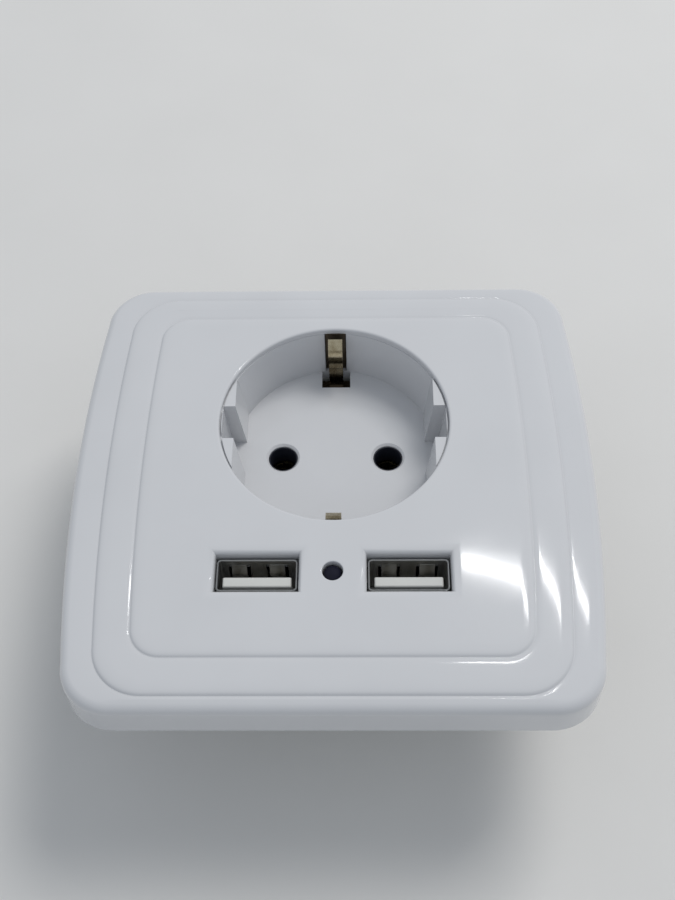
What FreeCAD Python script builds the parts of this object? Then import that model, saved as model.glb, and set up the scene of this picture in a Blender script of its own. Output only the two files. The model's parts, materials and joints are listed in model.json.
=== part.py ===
import FreeCAD
import Part
import math
import os

import Sketcher
from FreeCAD import Placement, Rotation, Vector

# Flush wall socket with an earthed round well and two charging ports.
# Lengths are millimetres. X runs across the plate, Y up the wall, Z out of the wall.
# The origin lies in the wall plane, midway between the two box screw slots.

SIZES = [
    # Front plate: outline in the wall plane, height and wall.
    ("plate_half_width", 42.4),
    ("plate_bulge", 2.0),
    ("plate_half_height", 42.1),
    ("plate_corner", 8.5),
    ("plate_height", 8.5),
    ("plate_draft_inset", 0.3),
    ("plate_edge_round", 2.2),
    ("plate_crown", 1.4),
    ("plate_wall", 2.2),
    # The two fine lines pressed into the face.
    ("panel_side_inset", 10.8),
    ("panel_bulge", 1.0),
    ("panel_end_inset", 8.7),
    ("panel_corner", 5.0),
    ("band_side_inset", 5.1),
    ("band_bulge", 1.3),
    ("band_end_inset", 3.1),
    ("band_corner", 8.3),
    ("line_width", 0.9),
    ("line_depth", 0.4),
    # Round well for the plug.
    ("well_offset", 10.7),
    ("well_depth", 12.1),
    ("well_mouth_radius", 19.9),
    ("well_taper", 0.35),
    ("well_rim_round", 0.4),
    ("well_wall", 1.3),
    ("well_floor", 1.9),
    ("guide_ledge_mouth", 2.5),
    ("guide_ledge_foot", 3.35),
    ("guide_drop", 0.7),
    ("guide_slot_width", 6.6),
    ("guide_slot_skin_mouth", 0.4),
    ("guide_slot_skin_foot", 0.95),
    ("pin_spacing", 19.0),
    ("pin_diameter", 4.8),
    ("pin_hole_clearance", 0.5),
    ("pin_hole_chamfer", 0.5),
    ("earth_slot_width", 4.0),
    ("earth_slot_drop", 1.0),
    ("earth_floor_width", 5.3),
    ("earth_floor_depth", 3.85),
    # Charging port windows and the lamp hole.
    ("port_x", 12.2),
    ("port_y", -18.7),
    ("window_width", 13.45),
    ("window_height", 6.55),
    ("window_chamfer", 1.1),
    ("collar_wall", 1.3),
    ("collar_depth", 2.6),
    ("lamp_diameter", 3.0),
    ("lamp_clearance", 0.35),
    # Snap legs that hold the plate on the frame tabs.
    ("snap_y", 22.0),
    ("snap_width", 8.0),
    ("snap_thickness", 1.6),
    ("snap_barb", 0.7),
    ("snap_barb_height", 1.6),
    ("snap_clearance", 0.25),
    # Steel support frame.
    ("frame_side_margin", 6.9),
    ("frame_end_margin", 6.6),
    ("frame_corner", 5.0),
    ("frame_thickness", 1.0),
    ("frame_well_clearance", 0.5),
    ("frame_window_half_width", 20.5),
    ("frame_window_low", -24.5),
    ("frame_window_high", -13.6),
    ("box_screw_spacing", 60.0),
    ("box_slot_length", 8.0),
    ("box_slot_width", 4.2),
    ("tab_inset", 3.1),
    ("tab_height", 4.6),
    ("tab_window_height", 2.2),
    # Moulded base housing behind the wall plane.
    ("base_upper_radius", 31.9),
    ("base_lower_radius", 28.4),
    ("base_half_width", 23.5),
    ("base_top", 22.2),
    ("base_step", 8.5),
    ("base_depth", 31.0),
    ("base_wall", 1.6),
    ("base_fit", 0.25),
    # Insulating carrier under the well floor.
    ("carrier_thickness", 2.0),
    ("carrier_low", -9.7),
    # Brass sleeves for the plug pins and their terminal tails.
    ("sleeve_sheet", 0.7),
    ("sleeve_length", 8.5),
    ("sleeve_play", 0.05),
    ("bus_height", 3.5),
    # Earth strap with two bowed clips.
    ("earth_sheet", 0.8),
    ("earth_strap_width", 8.0),
    ("earth_clip_width", 3.0),
    ("earth_leg_gap", 1.15),
    ("earth_crest_reach", 3.2),
    ("earth_crest_drop", 3.9),
    ("earth_tip_drop", 1.3),
    ("earth_bend", 1.1),
    # Clamp terminals.
    ("cage_x", 16.2),
    ("cage_y", 13.5),
    ("earth_cage_y", 16.5),
    ("cage_width", 7.6),
    ("cage_length", 7.5),
    ("cage_wall", 1.3),
    ("cage_root", 1.6),
    ("clamp_travel", 2.8),
    ("clamp_bar_width", 4.4),
    ("clamp_play", 0.1),
    ("screw_diameter", 3.5),
    ("screw_head_diameter", 5.0),
    ("screw_head_height", 1.0),
    ("screw_play", 0.05),
    ("driver_slot_width", 0.8),
    ("driver_slot_depth", 0.6),
    ("driver_hole_diameter", 4.2),
    ("wire_entry_diameter", 4.2),
    # Spreading claws and their screws.
    ("claw_y", -10.5),
    ("claw_width", 8.0),
    ("claw_sheet", 1.2),
    ("claw_gap", 0.6),
    ("claw_length", 21.0),
    ("claw_hook", 1.9),
    ("claw_hook_play", 0.1),
    ("claw_notch_play", 0.2),
    ("claw_foot", 2.9),
    ("claw_tab_drop", 8.0),
    ("claw_tab_reach", 5.2),
    ("claw_screw_offset", 3.2),
    ("claw_screw_diameter", 3.0),
    ("claw_head_diameter", 4.8),
    ("claw_head_height", 1.5),
    ("claw_screw_length", 14.0),
    ("claw_head_lift", 0.6),
    ("claw_slot_clearance", 0.6),
    # Charger board and what stands on it.
    ("board_thickness", 1.6),
    ("board_high", -13.0),
    ("shell_width", 13.1),
    ("shell_height", 5.72),
    ("shell_sheet", 0.3),
    ("shell_recess", 1.2),
    ("shell_spring_width", 2.6),
    ("shell_spring_length", 5.2),
    ("shell_spring_gap", 0.45),
    ("shell_spring_spread", 3.1),
    ("tongue_width", 11.1),
    ("tongue_thickness", 1.84),
    ("tongue_lift", 0.66),
    ("tongue_recess", 0.8),
    ("tongue_length", 8.7),
    ("tongue_play", 0.05),
    ("contact_width", 1.0),
    ("contact_thickness", 0.3),
    ("contact_length", 7.4),
    ("contact_outer", 3.5),
    ("contact_inner", 1.0),
    ("lamp_tip_drop", 3.3),
    ("lamp_body", 3.7),
    ("lamp_flange", 0.35),
    ("lead_side", 0.5),
    ("lead_pitch", 2.54),
    ("core_width", 15.0),
    ("core_length", 9.0),
    ("core_height", 13.0),
    ("core_limb", 3.4),
    ("core_y", -20.0),
    ("winding_play", 0.1),
    ("capacitor_diameter", 6.3),
    ("capacitor_height", 12.0),
    ("capacitor_x", 16.6),
    ("capacitor_y", -15.8),
    # Screws that hold the frame to the base.
    ("post_x", 19.2),
    ("post_y", -10.0),
    ("post_diameter", 5.0),
    ("tapping_diameter", 2.2),
    ("tapping_length", 7.0),
    ("tapping_head_diameter", 4.2),
    ("tapping_head_height", 1.3),
    ("tapping_play", 0.05),
]


class Size:
    """A length together with the sheet expression that it comes from."""

    def __init__(self, value, text):
        self.value = float(value)
        self.text = text

    def __add__(self, other):
        other = as_size(other)
        return Size(self.value + other.value, "(%s + %s)" % (self.text, other.text))

    def __radd__(self, other):
        return as_size(other) + self

    def __sub__(self, other):
        other = as_size(other)
        return Size(self.value - other.value, "(%s - %s)" % (self.text, other.text))

    def __rsub__(self, other):
        return as_size(other) - self

    def __mul__(self, other):
        other = as_size(other)
        return Size(self.value * other.value, "(%s * %s)" % (self.text, other.text))

    def __rmul__(self, other):
        return as_size(other) * self

    def __truediv__(self, other):
        other = as_size(other)
        return Size(self.value / other.value, "(%s / %s)" % (self.text, other.text))

    def __neg__(self):
        return Size(-self.value, "(0 - %s)" % self.text)


def as_size(number):
    """Plain numbers become sizes of their own."""
    if isinstance(number, Size):
        return number
    return Size(number, repr(float(number)))


def size_sheet(document):
    """Fill the sheet and return every row as a Size under its alias."""
    sheet = document.addObject("Spreadsheet::Sheet", "sizes")
    named = {}
    for row, (alias, number) in enumerate(SIZES, start=1):
        sheet.set("A%d" % row, alias)
        sheet.set("B%d" % row, str(number))
        sheet.setAlias("B%d" % row, alias)
        named[alias] = Size(number, "sizes.%s" % alias)
    document.recompute()
    return named


doc = FreeCAD.newDocument("wall_socket")
s = size_sheet(doc)
nodes = {}


# Heights and places that several pieces share.
face = s["plate_height"]
crown_edge = face - s["plate_crown"]
well_foot = face - s["well_depth"]
well_under = well_foot - s["well_floor"]
well_outer = s["well_mouth_radius"] + s["well_wall"]
well_foot_radius = s["well_mouth_radius"] - s["well_taper"]
earth_floor_inner = well_foot_radius - s["earth_floor_depth"]
plate_under = crown_edge - s["plate_wall"]
panel_under = face - s["plate_wall"]
frame_top = s["frame_thickness"]
frame_half_width = s["plate_half_width"] - s["frame_side_margin"]
frame_half_height = s["plate_half_height"] - s["frame_end_margin"]
tab_x = frame_half_width - s["tab_inset"]
step_z = -s["base_step"]
rear_inside = s["base_wall"] - s["base_depth"]
base_inside = s["base_half_width"] - s["base_wall"]
carrier_top = step_z + s["carrier_thickness"]
board_top = step_z + s["board_thickness"]
pin_x = s["pin_spacing"] / 2
pin_hole_radius = (s["pin_diameter"] + s["pin_hole_clearance"]) / 2
head_low = rear_inside + s["clamp_play"]
head_top = head_low + s["screw_head_height"]
cage_low = head_top + s["clamp_play"] + s["clamp_travel"]
cage_window_low = cage_low + s["cage_root"]
bar_low = cage_window_low + s["clamp_play"]
cage_window_high = bar_low + s["earth_sheet"] + s["clamp_travel"] + s["clamp_play"]
cage_top = cage_window_high + s["cage_wall"]
claw_x = s["base_half_width"] + s["claw_gap"] + s["claw_sheet"] / 2
claw_screw_x = claw_x + s["claw_screw_offset"]
shell_front = face - s["shell_recess"]

# Half width, bulge, half height and corner of each outline on the face.
outlines = {
    "plate": (s["plate_half_width"], s["plate_bulge"], s["plate_half_height"], s["plate_corner"]),
    "panel": (s["plate_half_width"] - s["panel_side_inset"], s["panel_bulge"],
              s["plate_half_height"] - s["panel_end_inset"], s["panel_corner"]),
    "band": (s["plate_half_width"] - s["band_side_inset"], s["band_bulge"],
             s["plate_half_height"] - s["band_end_inset"], s["band_corner"]),
}


def bind(thing, **properties):
    """Tie properties of an object to sheet expressions."""
    for name, value in properties.items():
        thing.setExpression(name, as_size(value).text)


def place(thing, x=0, y=0, z=0):
    """Tie an object's position to sheet expressions."""
    for axis, value in (("x", x), ("y", y), ("z", z)):
        thing.setExpression("Placement.Base.%s" % axis, as_size(value).text)


def block(name, x, y, z):
    """A box between two places on each axis."""
    made = doc.addObject("Part::Box", name)
    low = [as_size(pair[0]) for pair in (x, y, z)]
    high = [as_size(pair[1]) for pair in (x, y, z)]
    bind(made, Length=high[0] - low[0], Width=high[1] - low[1], Height=high[2] - low[2])
    place(made, *low)
    return made


def rod(name, x, y, z, radius):
    """A cylinder along Z between two heights."""
    made = doc.addObject("Part::Cylinder", name)
    low, high = as_size(z[0]), as_size(z[1])
    bind(made, Radius=radius, Height=high - low)
    place(made, x, y, low)
    return made


def rod_along_y(name, x, y, z, radius):
    """A cylinder along Y between two places."""
    made = doc.addObject("Part::Cylinder", name)
    low, high = as_size(y[0]), as_size(y[1])
    bind(made, Radius=radius, Height=high - low)
    made.Placement = Placement(Vector(0, 0, 0), Rotation(Vector(1, 0, 0), -90))
    place(made, x, low, z)
    return made


def fuse(name, pieces):
    """One solid out of several that meet."""
    made = doc.addObject("Part::MultiFuse", name)
    made.Shapes = pieces
    made.Refine = True
    return made


def cut(name, base, tools):
    """A solid less one or more others."""
    made = doc.addObject("Part::Cut", name)
    made.Base = base
    made.Tool = tools[0] if len(tools) == 1 else fuse(name + "_tools", tools)
    made.Refine = True
    return made


def common(name, first, second):
    """What two solids share."""
    made = doc.addObject("Part::Common", name)
    made.Base = first
    made.Tool = second
    made.Refine = True
    return made


def mirrored(name, source):
    """The copy of a piece on the other side of the plate's middle."""
    made = doc.addObject("Part::Mirroring", name)
    made.Source = source
    made.Normal = Vector(1, 0, 0)
    return made


def flat_barrel(name, radius, half_width, y, z):
    """A round block with flat sides at the left and right and at two ends in Y."""
    round_block = rod(name + "_round", 0, 0, z, radius)
    flats = block(name + "_flats", (-half_width, half_width), y, z)
    return common(name, round_block, flats)


def node(name, thing):
    """Give a finished piece its label and list it for export."""
    thing.Label = name
    nodes[name] = thing
    return thing


def origin_plane(body, role):
    """A body's own origin plane."""
    return next(item for item in body.Origin.OriginFeatures if item.Role == role)


def sketch_on(body, name, role="XY_Plane", x=0, y=0, z=0):
    """A sketch on a body's origin plane, moved in the plane's own axes."""
    made = body.newObject("Sketcher::SketchObject", name)
    made.AttachmentSupport = [(origin_plane(body, role), "")]
    made.MapMode = "FlatFace"
    for axis, value in (("x", x), ("y", y), ("z", z)):
        made.setExpression("AttachmentOffset.Base.%s" % axis, as_size(value).text)
    return made


def dimension(sketch, constraint, value):
    """Add a dimension that follows the sheet."""
    index = sketch.addConstraint(constraint)
    sketch.setExpression("Constraints[%d]" % index, as_size(value).text)


def pin_point(sketch, curve, point, x, y):
    """Fix a point of a curve from the sketch's origin."""
    for kind, axis, value in (("DistanceX", -2, as_size(x)), ("DistanceY", -1, as_size(y))):
        if value.value == 0:
            sketch.addConstraint(Sketcher.Constraint("PointOnObject", curve, point, axis))
        else:
            dimension(sketch, Sketcher.Constraint(kind, -1, 1, curve, point, value.value), value)


def draw_polygon(sketch, points):
    """A closed outline of straight lines."""
    first = sketch.GeometryCount
    corners = [Vector(as_size(x).value, as_size(y).value, 0) for x, y in points]
    following = corners[1:] + corners[:1]
    sketch.addGeometry([Part.LineSegment(a, b) for a, b in zip(corners, following)], False)
    for index, (x, y) in enumerate(points):
        after = (index + 1) % len(points)
        sketch.addConstraint(Sketcher.Constraint("Coincident", first + index, 2, first + after, 1))
        pin_point(sketch, first + index, 1, x, y)


def draw_rectangle(sketch, x, y, width, height):
    """A rectangle about a centre."""
    x, y, width, height = (as_size(value) for value in (x, y, width, height))
    left, right = x - width / 2, x + width / 2
    low, high = y - height / 2, y + height / 2
    draw_polygon(sketch, [(left, low), (right, low), (right, high), (left, high)])


def draw_circle(sketch, x, y, radius):
    """A circle about a centre."""
    x, y, radius = (as_size(value) for value in (x, y, radius))
    circle = Part.Circle(Vector(x.value, y.value, 0), Vector(0, 0, 1), radius.value)
    index = sketch.addGeometry(circle, False)
    pin_point(sketch, index, 3, x, y)
    dimension(sketch, Sketcher.Constraint("Radius", index, radius.value), radius)


def arc(centre, radius, start, end):
    """An arc of a circle between two angles in radians."""
    circle = Part.Circle(Vector(centre[0], centre[1], 0), Vector(0, 0, 1), radius)
    return Part.ArcOfCircle(circle, start, end)


def draw_slot(sketch, x, y, length, width):
    """A round-ended slot along X about a centre."""
    x, y, length, width = (as_size(value) for value in (x, y, length, width))
    reach = (length - width) / 2
    radius = width / 2
    right, left = x + reach, x - reach
    top, low = y.value + radius.value, y.value - radius.value
    first = sketch.GeometryCount
    sketch.addGeometry([
        arc((right.value, y.value), radius.value, -math.pi / 2, math.pi / 2),
        Part.LineSegment(Vector(right.value, top, 0), Vector(left.value, top, 0)),
        arc((left.value, y.value), radius.value, math.pi / 2, 3 * math.pi / 2),
        Part.LineSegment(Vector(left.value, low, 0), Vector(right.value, low, 0)),
    ], False)
    for index in range(4):
        after = first + (index + 1) % 4
        sketch.addConstraint(Sketcher.Constraint("Tangent", first + index, 2, after, 1))
    for index, centre_x in ((first, right), (first + 2, left)):
        pin_point(sketch, index, 3, centre_x, y)
        dimension(sketch, Sketcher.Constraint("Radius", index, radius.value), radius)


def draw_outline(sketch, half_width, bulge, half_height, corner):
    """A rounded square whose left and right sides bow outwards."""
    side = (half_height * half_height + bulge * bulge) / (2 * bulge)
    centre = half_width + bulge - side
    corner_y = half_height.value - corner.value
    inner = side.value - corner.value
    corner_x = centre.value + math.sqrt(inner ** 2 - corner_y ** 2)
    lean = math.asin(corner_y / inner)
    quarter = math.pi / 2
    high = half_height.value
    first = sketch.GeometryCount
    sketch.addGeometry([
        arc((centre.value, 0), side.value, -lean, lean),
        arc((corner_x, corner_y), corner.value, lean, quarter),
        Part.LineSegment(Vector(corner_x, high, 0), Vector(-corner_x, high, 0)),
        arc((-corner_x, corner_y), corner.value, quarter, math.pi - lean),
        arc((-centre.value, 0), side.value, math.pi - lean, math.pi + lean),
        arc((-corner_x, -corner_y), corner.value, math.pi + lean, 3 * quarter),
        Part.LineSegment(Vector(-corner_x, -high, 0), Vector(corner_x, -high, 0)),
        arc((corner_x, -corner_y), corner.value, 3 * quarter, 4 * quarter - lean),
    ], False)
    for index in range(8):
        after = first + (index + 1) % 8
        sketch.addConstraint(Sketcher.Constraint("Tangent", first + index, 2, after, 1))
    for index, centre_x in ((first, centre), (first + 4, -centre)):
        pin_point(sketch, index, 3, centre_x, 0)
        dimension(sketch, Sketcher.Constraint("Radius", index, side.value), side)
    for index in (first + 1, first + 3, first + 5, first + 7):
        dimension(sketch, Sketcher.Constraint("Radius", index, corner.value), corner)
    for index, height in ((first + 2, half_height), (first + 6, -half_height)):
        sketch.addConstraint(Sketcher.Constraint("Horizontal", index))
        dimension(sketch, Sketcher.Constraint("DistanceY", -1, 1, index, 1, height.value), height)


def draw_flatted_circle(sketch, radius, flat):
    """A circle about the sketch's origin with flats at its left and right."""
    lean = math.acos(flat.value / radius.value)
    rise = radius.value * math.sin(lean)
    first = sketch.GeometryCount
    sketch.addGeometry([
        Part.LineSegment(Vector(flat.value, -rise, 0), Vector(flat.value, rise, 0)),
        arc((0, 0), radius.value, lean, math.pi - lean),
        Part.LineSegment(Vector(-flat.value, rise, 0), Vector(-flat.value, -rise, 0)),
        arc((0, 0), radius.value, math.pi + lean, 2 * math.pi - lean),
    ], False)
    for index in range(4):
        after = first + (index + 1) % 4
        sketch.addConstraint(Sketcher.Constraint("Coincident", first + index, 2, after, 1))
    for index in (first + 1, first + 3):
        sketch.addConstraint(Sketcher.Constraint("Coincident", index, 3, -1, 1))
        dimension(sketch, Sketcher.Constraint("Radius", index, radius.value), radius)
    for index, reach in ((first, flat), (first + 2, -flat)):
        sketch.addConstraint(Sketcher.Constraint("Vertical", index))
        dimension(sketch, Sketcher.Constraint("DistanceX", -1, 1, index, 1, reach.value), reach)


def pad(body, name, sketch, length, against_normal=False):
    """Add the sketch's outline as a prism."""
    made = body.newObject("PartDesign::Pad", name)
    made.Profile = sketch
    made.Reversed = against_normal
    bind(made, Length=length)
    doc.recompute()
    return made


def pocket(body, name, sketch, length, along_normal=False):
    """Take the sketch's outline away as a prism and check that it cut."""
    before = body.Shape.Volume
    made = body.newObject("PartDesign::Pocket", name)
    made.Profile = sketch
    made.Reversed = along_normal
    bind(made, Length=length)
    doc.recompute()
    if not body.Shape.Volume < before - 1e-6:
        raise RuntimeError("%s cuts nothing" % name)
    return made


def loft(body, kind, name, first, second):
    """Add or take away the blend between two sketches."""
    made = body.newObject("PartDesign::%sLoft" % kind, name)
    made.Profile = first
    made.Sections = [second]
    made.Ruled = True
    doc.recompute()
    return made


def edges_where(feature, test):
    """Names of the feature's edges that pass a test."""
    return ["Edge%d" % number for number, edge in enumerate(feature.Shape.Edges, start=1) if test(edge)]


def dress(body, kind, name, feature, edges, amount):
    """Round or chamfer named edges of a feature."""
    made = body.newObject("PartDesign::%s" % kind, name)
    made.Base = (feature, edges)
    bind(made, **{"Radius" if kind == "Fillet" else "Size": amount})
    doc.recompute()
    return made


def level(edge, height):
    """Whether an edge lies flat at a height."""
    box = edge.BoundBox
    return abs(box.ZMin - height.value) < 1e-4 and abs(box.ZMax - height.value) < 1e-4


def ribbon(points, bend, thickness):
    """The section of a bent sheet as a closed list of edges, given its middle line.

    The points are pairs. Each inner corner turns about the bend radius.
    """
    half = thickness / 2
    vectors = [Vector(a, b, 0) for a, b in points]
    runs = [(after - before).normalize() for before, after in zip(vectors, vectors[1:])]
    normals = [Vector(-run.y, run.x, 0) for run in runs]

    def one_side(sign):
        outline = [vectors[0] + normals[0] * half * sign]
        radii = []
        for index in range(1, len(vectors) - 1):
            before, after = normals[index - 1], normals[index]
            middle = (before + after).normalize()
            outline.append(vectors[index] + middle * (half * sign / middle.dot(after)))
            turn = runs[index - 1].cross(runs[index]).z
            radii.append(bend - half * sign * math.copysign(1, turn))
        outline.append(vectors[-1] + normals[-1] * half * sign)
        return outline, radii

    left, left_radii = one_side(1)
    right, right_radii = one_side(-1)
    edges = rounded_edges(left, left_radii)
    edges.append(Part.makeLine(left[-1], right[-1]))
    edges += rounded_edges(right[::-1], right_radii[::-1])
    edges.append(Part.makeLine(right[0], left[0]))
    return edges


def rounded_edges(points, radii):
    """Straight runs joined by tangent arcs."""
    edges = []
    start = points[0]
    for index, radius in enumerate(radii, start=1):
        corner = points[index]
        back = (points[index - 1] - corner).normalize()
        ahead = (points[index + 1] - corner).normalize()
        half_angle = back.getAngle(ahead) / 2
        trim = radius / math.tan(half_angle)
        enter, leave = corner + back * trim, corner + ahead * trim
        centre = corner + (back + ahead).normalize() * (radius / math.sin(half_angle))
        middle = centre + (corner - centre).normalize() * radius
        edges.append(Part.makeLine(start, enter))
        edges.append(Part.Arc(enter, middle, leave).toShape())
        start = leave
    edges.append(Part.makeLine(start, points[-1]))
    return edges


def bent_sheet(points, bend, thickness, width, placement):
    """A bent sheet: its section drawn in XY, drawn out along Z, then placed."""
    section = Part.Face(Part.Wire(ribbon(points, bend, thickness)))
    solid = section.extrude(Vector(0, 0, width))
    return solid.transformed(placement.toMatrix())


def solid_box(x, y, z):
    """A plain solid between two places on each axis, for use in code."""
    corner = Vector(x[0], y[0], z[0])
    return Part.makeBox(x[1] - x[0], y[1] - y[0], z[1] - z[0], corner)


def shaped(name, shape):
    """A document object that holds a shape made in code."""
    made = doc.addObject("Part::Feature", name)
    made.Shape = shape
    made.Placement = Placement()
    return made


def grown_outline(name, growth):
    """An outline on the face, moved outwards by a growth, or inwards where it is negative."""
    half_width, bulge, half_height, corner = outlines[name]
    return half_width + growth, bulge, half_height + growth, corner + growth


def make_front_cover():
    """The glossy front plate and its well, one moulding."""
    body = doc.addObject("PartDesign::Body", "front_cover_body")
    foot = sketch_on(body, "plate_foot")
    draw_outline(foot, *outlines["plate"])
    shoulder = sketch_on(body, "plate_shoulder", z=crown_edge)
    draw_outline(shoulder, *grown_outline("plate", -s["plate_draft_inset"]))
    panel = sketch_on(body, "plate_panel", z=face)
    draw_outline(panel, *outlines["panel"])
    loft(body, "Additive", "plate_side", foot, shoulder)
    crown = loft(body, "Additive", "plate_crown", shoulder, panel)
    rim = edges_where(crown, lambda edge: level(edge, crown_edge))
    dress(body, "Fillet", "plate_edge", crown, rim, s["plate_edge_round"])

    for name, height, shape_of in (("plate_hollow", plate_under, "plate"), ("panel_hollow", panel_under, "panel")):
        hollow = sketch_on(body, name + "_outline")
        draw_outline(hollow, *grown_outline(shape_of, -s["plate_wall"]))
        pocket(body, name, hollow, height, along_normal=True)

    make_face_line(body, "panel")
    make_face_line(body, "band")
    make_well(body)
    make_port_windows(body)
    make_snap_legs(body)
    return node("front_cover", body)


def make_face_line(body, shape_of):
    """One of the fine lines in the face: a narrow ring cut to an even depth."""
    half = s["line_width"] / 2
    drop = 0 if shape_of == "panel" else s["plate_crown"] / 2
    ring = sketch_on(body, shape_of + "_line_outline", z=face)
    for growth in (half, -half):
        draw_outline(ring, *grown_outline(shape_of, growth))
    pocket(body, shape_of + "_line", ring, s["line_depth"] + drop)


def make_well(body):
    """The round well: cup, mouth, side guides, pin holes and earth slots."""
    cup = sketch_on(body, "well_cup_outline", y=s["well_offset"], z=well_under)
    draw_circle(cup, 0, 0, well_outer)
    pad(body, "well_cup", cup, panel_under - well_under + s["plate_wall"] / 2)

    mouth = sketch_on(body, "well_mouth_outline", y=s["well_offset"], z=face)
    draw_circle(mouth, 0, 0, s["well_mouth_radius"])
    opened = pocket(body, "well_mouth", mouth, s["guide_drop"])
    rim = edges_where(opened, lambda edge: level(edge, face) and edge.Closed)
    dress(body, "Fillet", "well_rim", opened, rim, s["well_rim_round"])

    shelf = face - s["guide_drop"]
    top = sketch_on(body, "well_top", y=s["well_offset"], z=shelf)
    draw_flatted_circle(top, s["well_mouth_radius"], s["well_mouth_radius"] - s["guide_ledge_mouth"])
    foot = sketch_on(body, "well_foot", y=s["well_offset"], z=well_foot)
    draw_flatted_circle(foot, well_foot_radius, well_foot_radius - s["guide_ledge_foot"])
    loft(body, "Subtractive", "well_hollow", top, foot)

    slot_top = sketch_on(body, "guide_top", y=s["well_offset"], z=shelf)
    draw_rectangle(slot_top, 0, 0, (s["well_mouth_radius"] - s["guide_slot_skin_mouth"]) * 2, s["guide_slot_width"])
    slot_foot = sketch_on(body, "guide_foot", y=s["well_offset"], z=well_foot)
    draw_rectangle(slot_foot, 0, 0, (well_foot_radius - s["guide_slot_skin_foot"]) * 2, s["guide_slot_width"])
    loft(body, "Subtractive", "guide_slots", slot_top, slot_foot)

    holes = sketch_on(body, "pin_hole_outline", y=s["well_offset"], z=well_foot)
    for x in (-pin_x, pin_x):
        draw_circle(holes, x, 0, pin_hole_radius)
    drilled = pocket(body, "pin_holes", holes, s["well_floor"])
    rims = edges_where(drilled, lambda edge: level(edge, well_foot) and edge.Closed)
    dress(body, "Chamfer", "pin_hole_rims", drilled, rims, s["pin_hole_chamfer"])

    wall_slots = sketch_on(body, "earth_wall_outline", y=s["well_offset"], z=face - s["earth_slot_drop"])
    floor_slots = sketch_on(body, "earth_floor_outline", y=s["well_offset"], z=well_foot)
    slot_out = s["well_mouth_radius"] + s["well_wall"] / 2
    for side in (1, -1):
        across = (earth_floor_inner + slot_out) / 2 * side
        draw_rectangle(wall_slots, 0, across, s["earth_slot_width"], slot_out - earth_floor_inner)
        reach = (earth_floor_inner + well_foot_radius) / 2 * side
        draw_rectangle(floor_slots, 0, reach, s["earth_floor_width"], well_foot_radius - earth_floor_inner)
    pocket(body, "earth_wall_slots", wall_slots, s["well_depth"] - s["earth_slot_drop"])
    pocket(body, "earth_floor_slots", floor_slots, s["well_floor"])


def make_port_windows(body):
    """The two port windows with their collars, and the lamp hole between them."""
    collars = sketch_on(body, "collar_outline", z=panel_under)
    for x in (-s["port_x"], s["port_x"]):
        draw_rectangle(collars, x, s["port_y"], s["window_width"] + s["collar_wall"] * 2,
                       s["window_height"] + s["collar_wall"] * 2)
    pad(body, "port_collars", collars, s["collar_depth"], against_normal=True)
    windows = sketch_on(body, "window_outline", z=face)
    for x in (-s["port_x"], s["port_x"]):
        draw_rectangle(windows, x, s["port_y"], s["window_width"], s["window_height"])
    opened = pocket(body, "port_windows", windows, s["plate_wall"] + s["collar_depth"])
    width, height = s["window_width"].value, s["window_height"].value

    def is_rim(edge):
        long_enough = abs(edge.Length - width) < 1e-4 or abs(edge.Length - height) < 1e-4
        return level(edge, face) and long_enough

    dress(body, "Chamfer", "window_rims", opened, edges_where(opened, is_rim), s["window_chamfer"])
    lamp = sketch_on(body, "lamp_hole_outline", z=face)
    draw_circle(lamp, 0, s["port_y"], s["lamp_diameter"] / 2 + s["lamp_clearance"] / 2)
    pocket(body, "lamp_hole", lamp, s["plate_wall"])


def make_snap_legs(body):
    """Four legs inside the plate whose barbs catch in the frame tabs."""
    leg_x = tab_x + s["frame_thickness"] + s["snap_clearance"]
    legs = sketch_on(body, "snap_leg_outline", z=plate_under)
    barbs = sketch_on(body, "snap_barb_outline", z=snap_barb_top())
    for side in (-1, 1):
        for level_y in (-s["snap_y"], s["snap_y"]):
            draw_rectangle(legs, (leg_x + s["snap_thickness"] / 2) * side, level_y,
                           s["snap_thickness"], s["snap_width"])
            draw_rectangle(barbs, (leg_x + (s["snap_thickness"] - s["snap_barb"]) / 2) * side, level_y,
                           s["snap_thickness"] + s["snap_barb"], s["snap_width"] / 2)
    pad(body, "snap_legs", legs, plate_under - frame_top - s["snap_clearance"], against_normal=True)
    pad(body, "snap_barbs", barbs, s["snap_barb_height"], against_normal=True)


def snap_barb_top():
    """Height of the barbs' upper faces, just under the top of the tab windows."""
    return frame_top + s["snap_clearance"] * 2 + s["snap_barb_height"]


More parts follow.
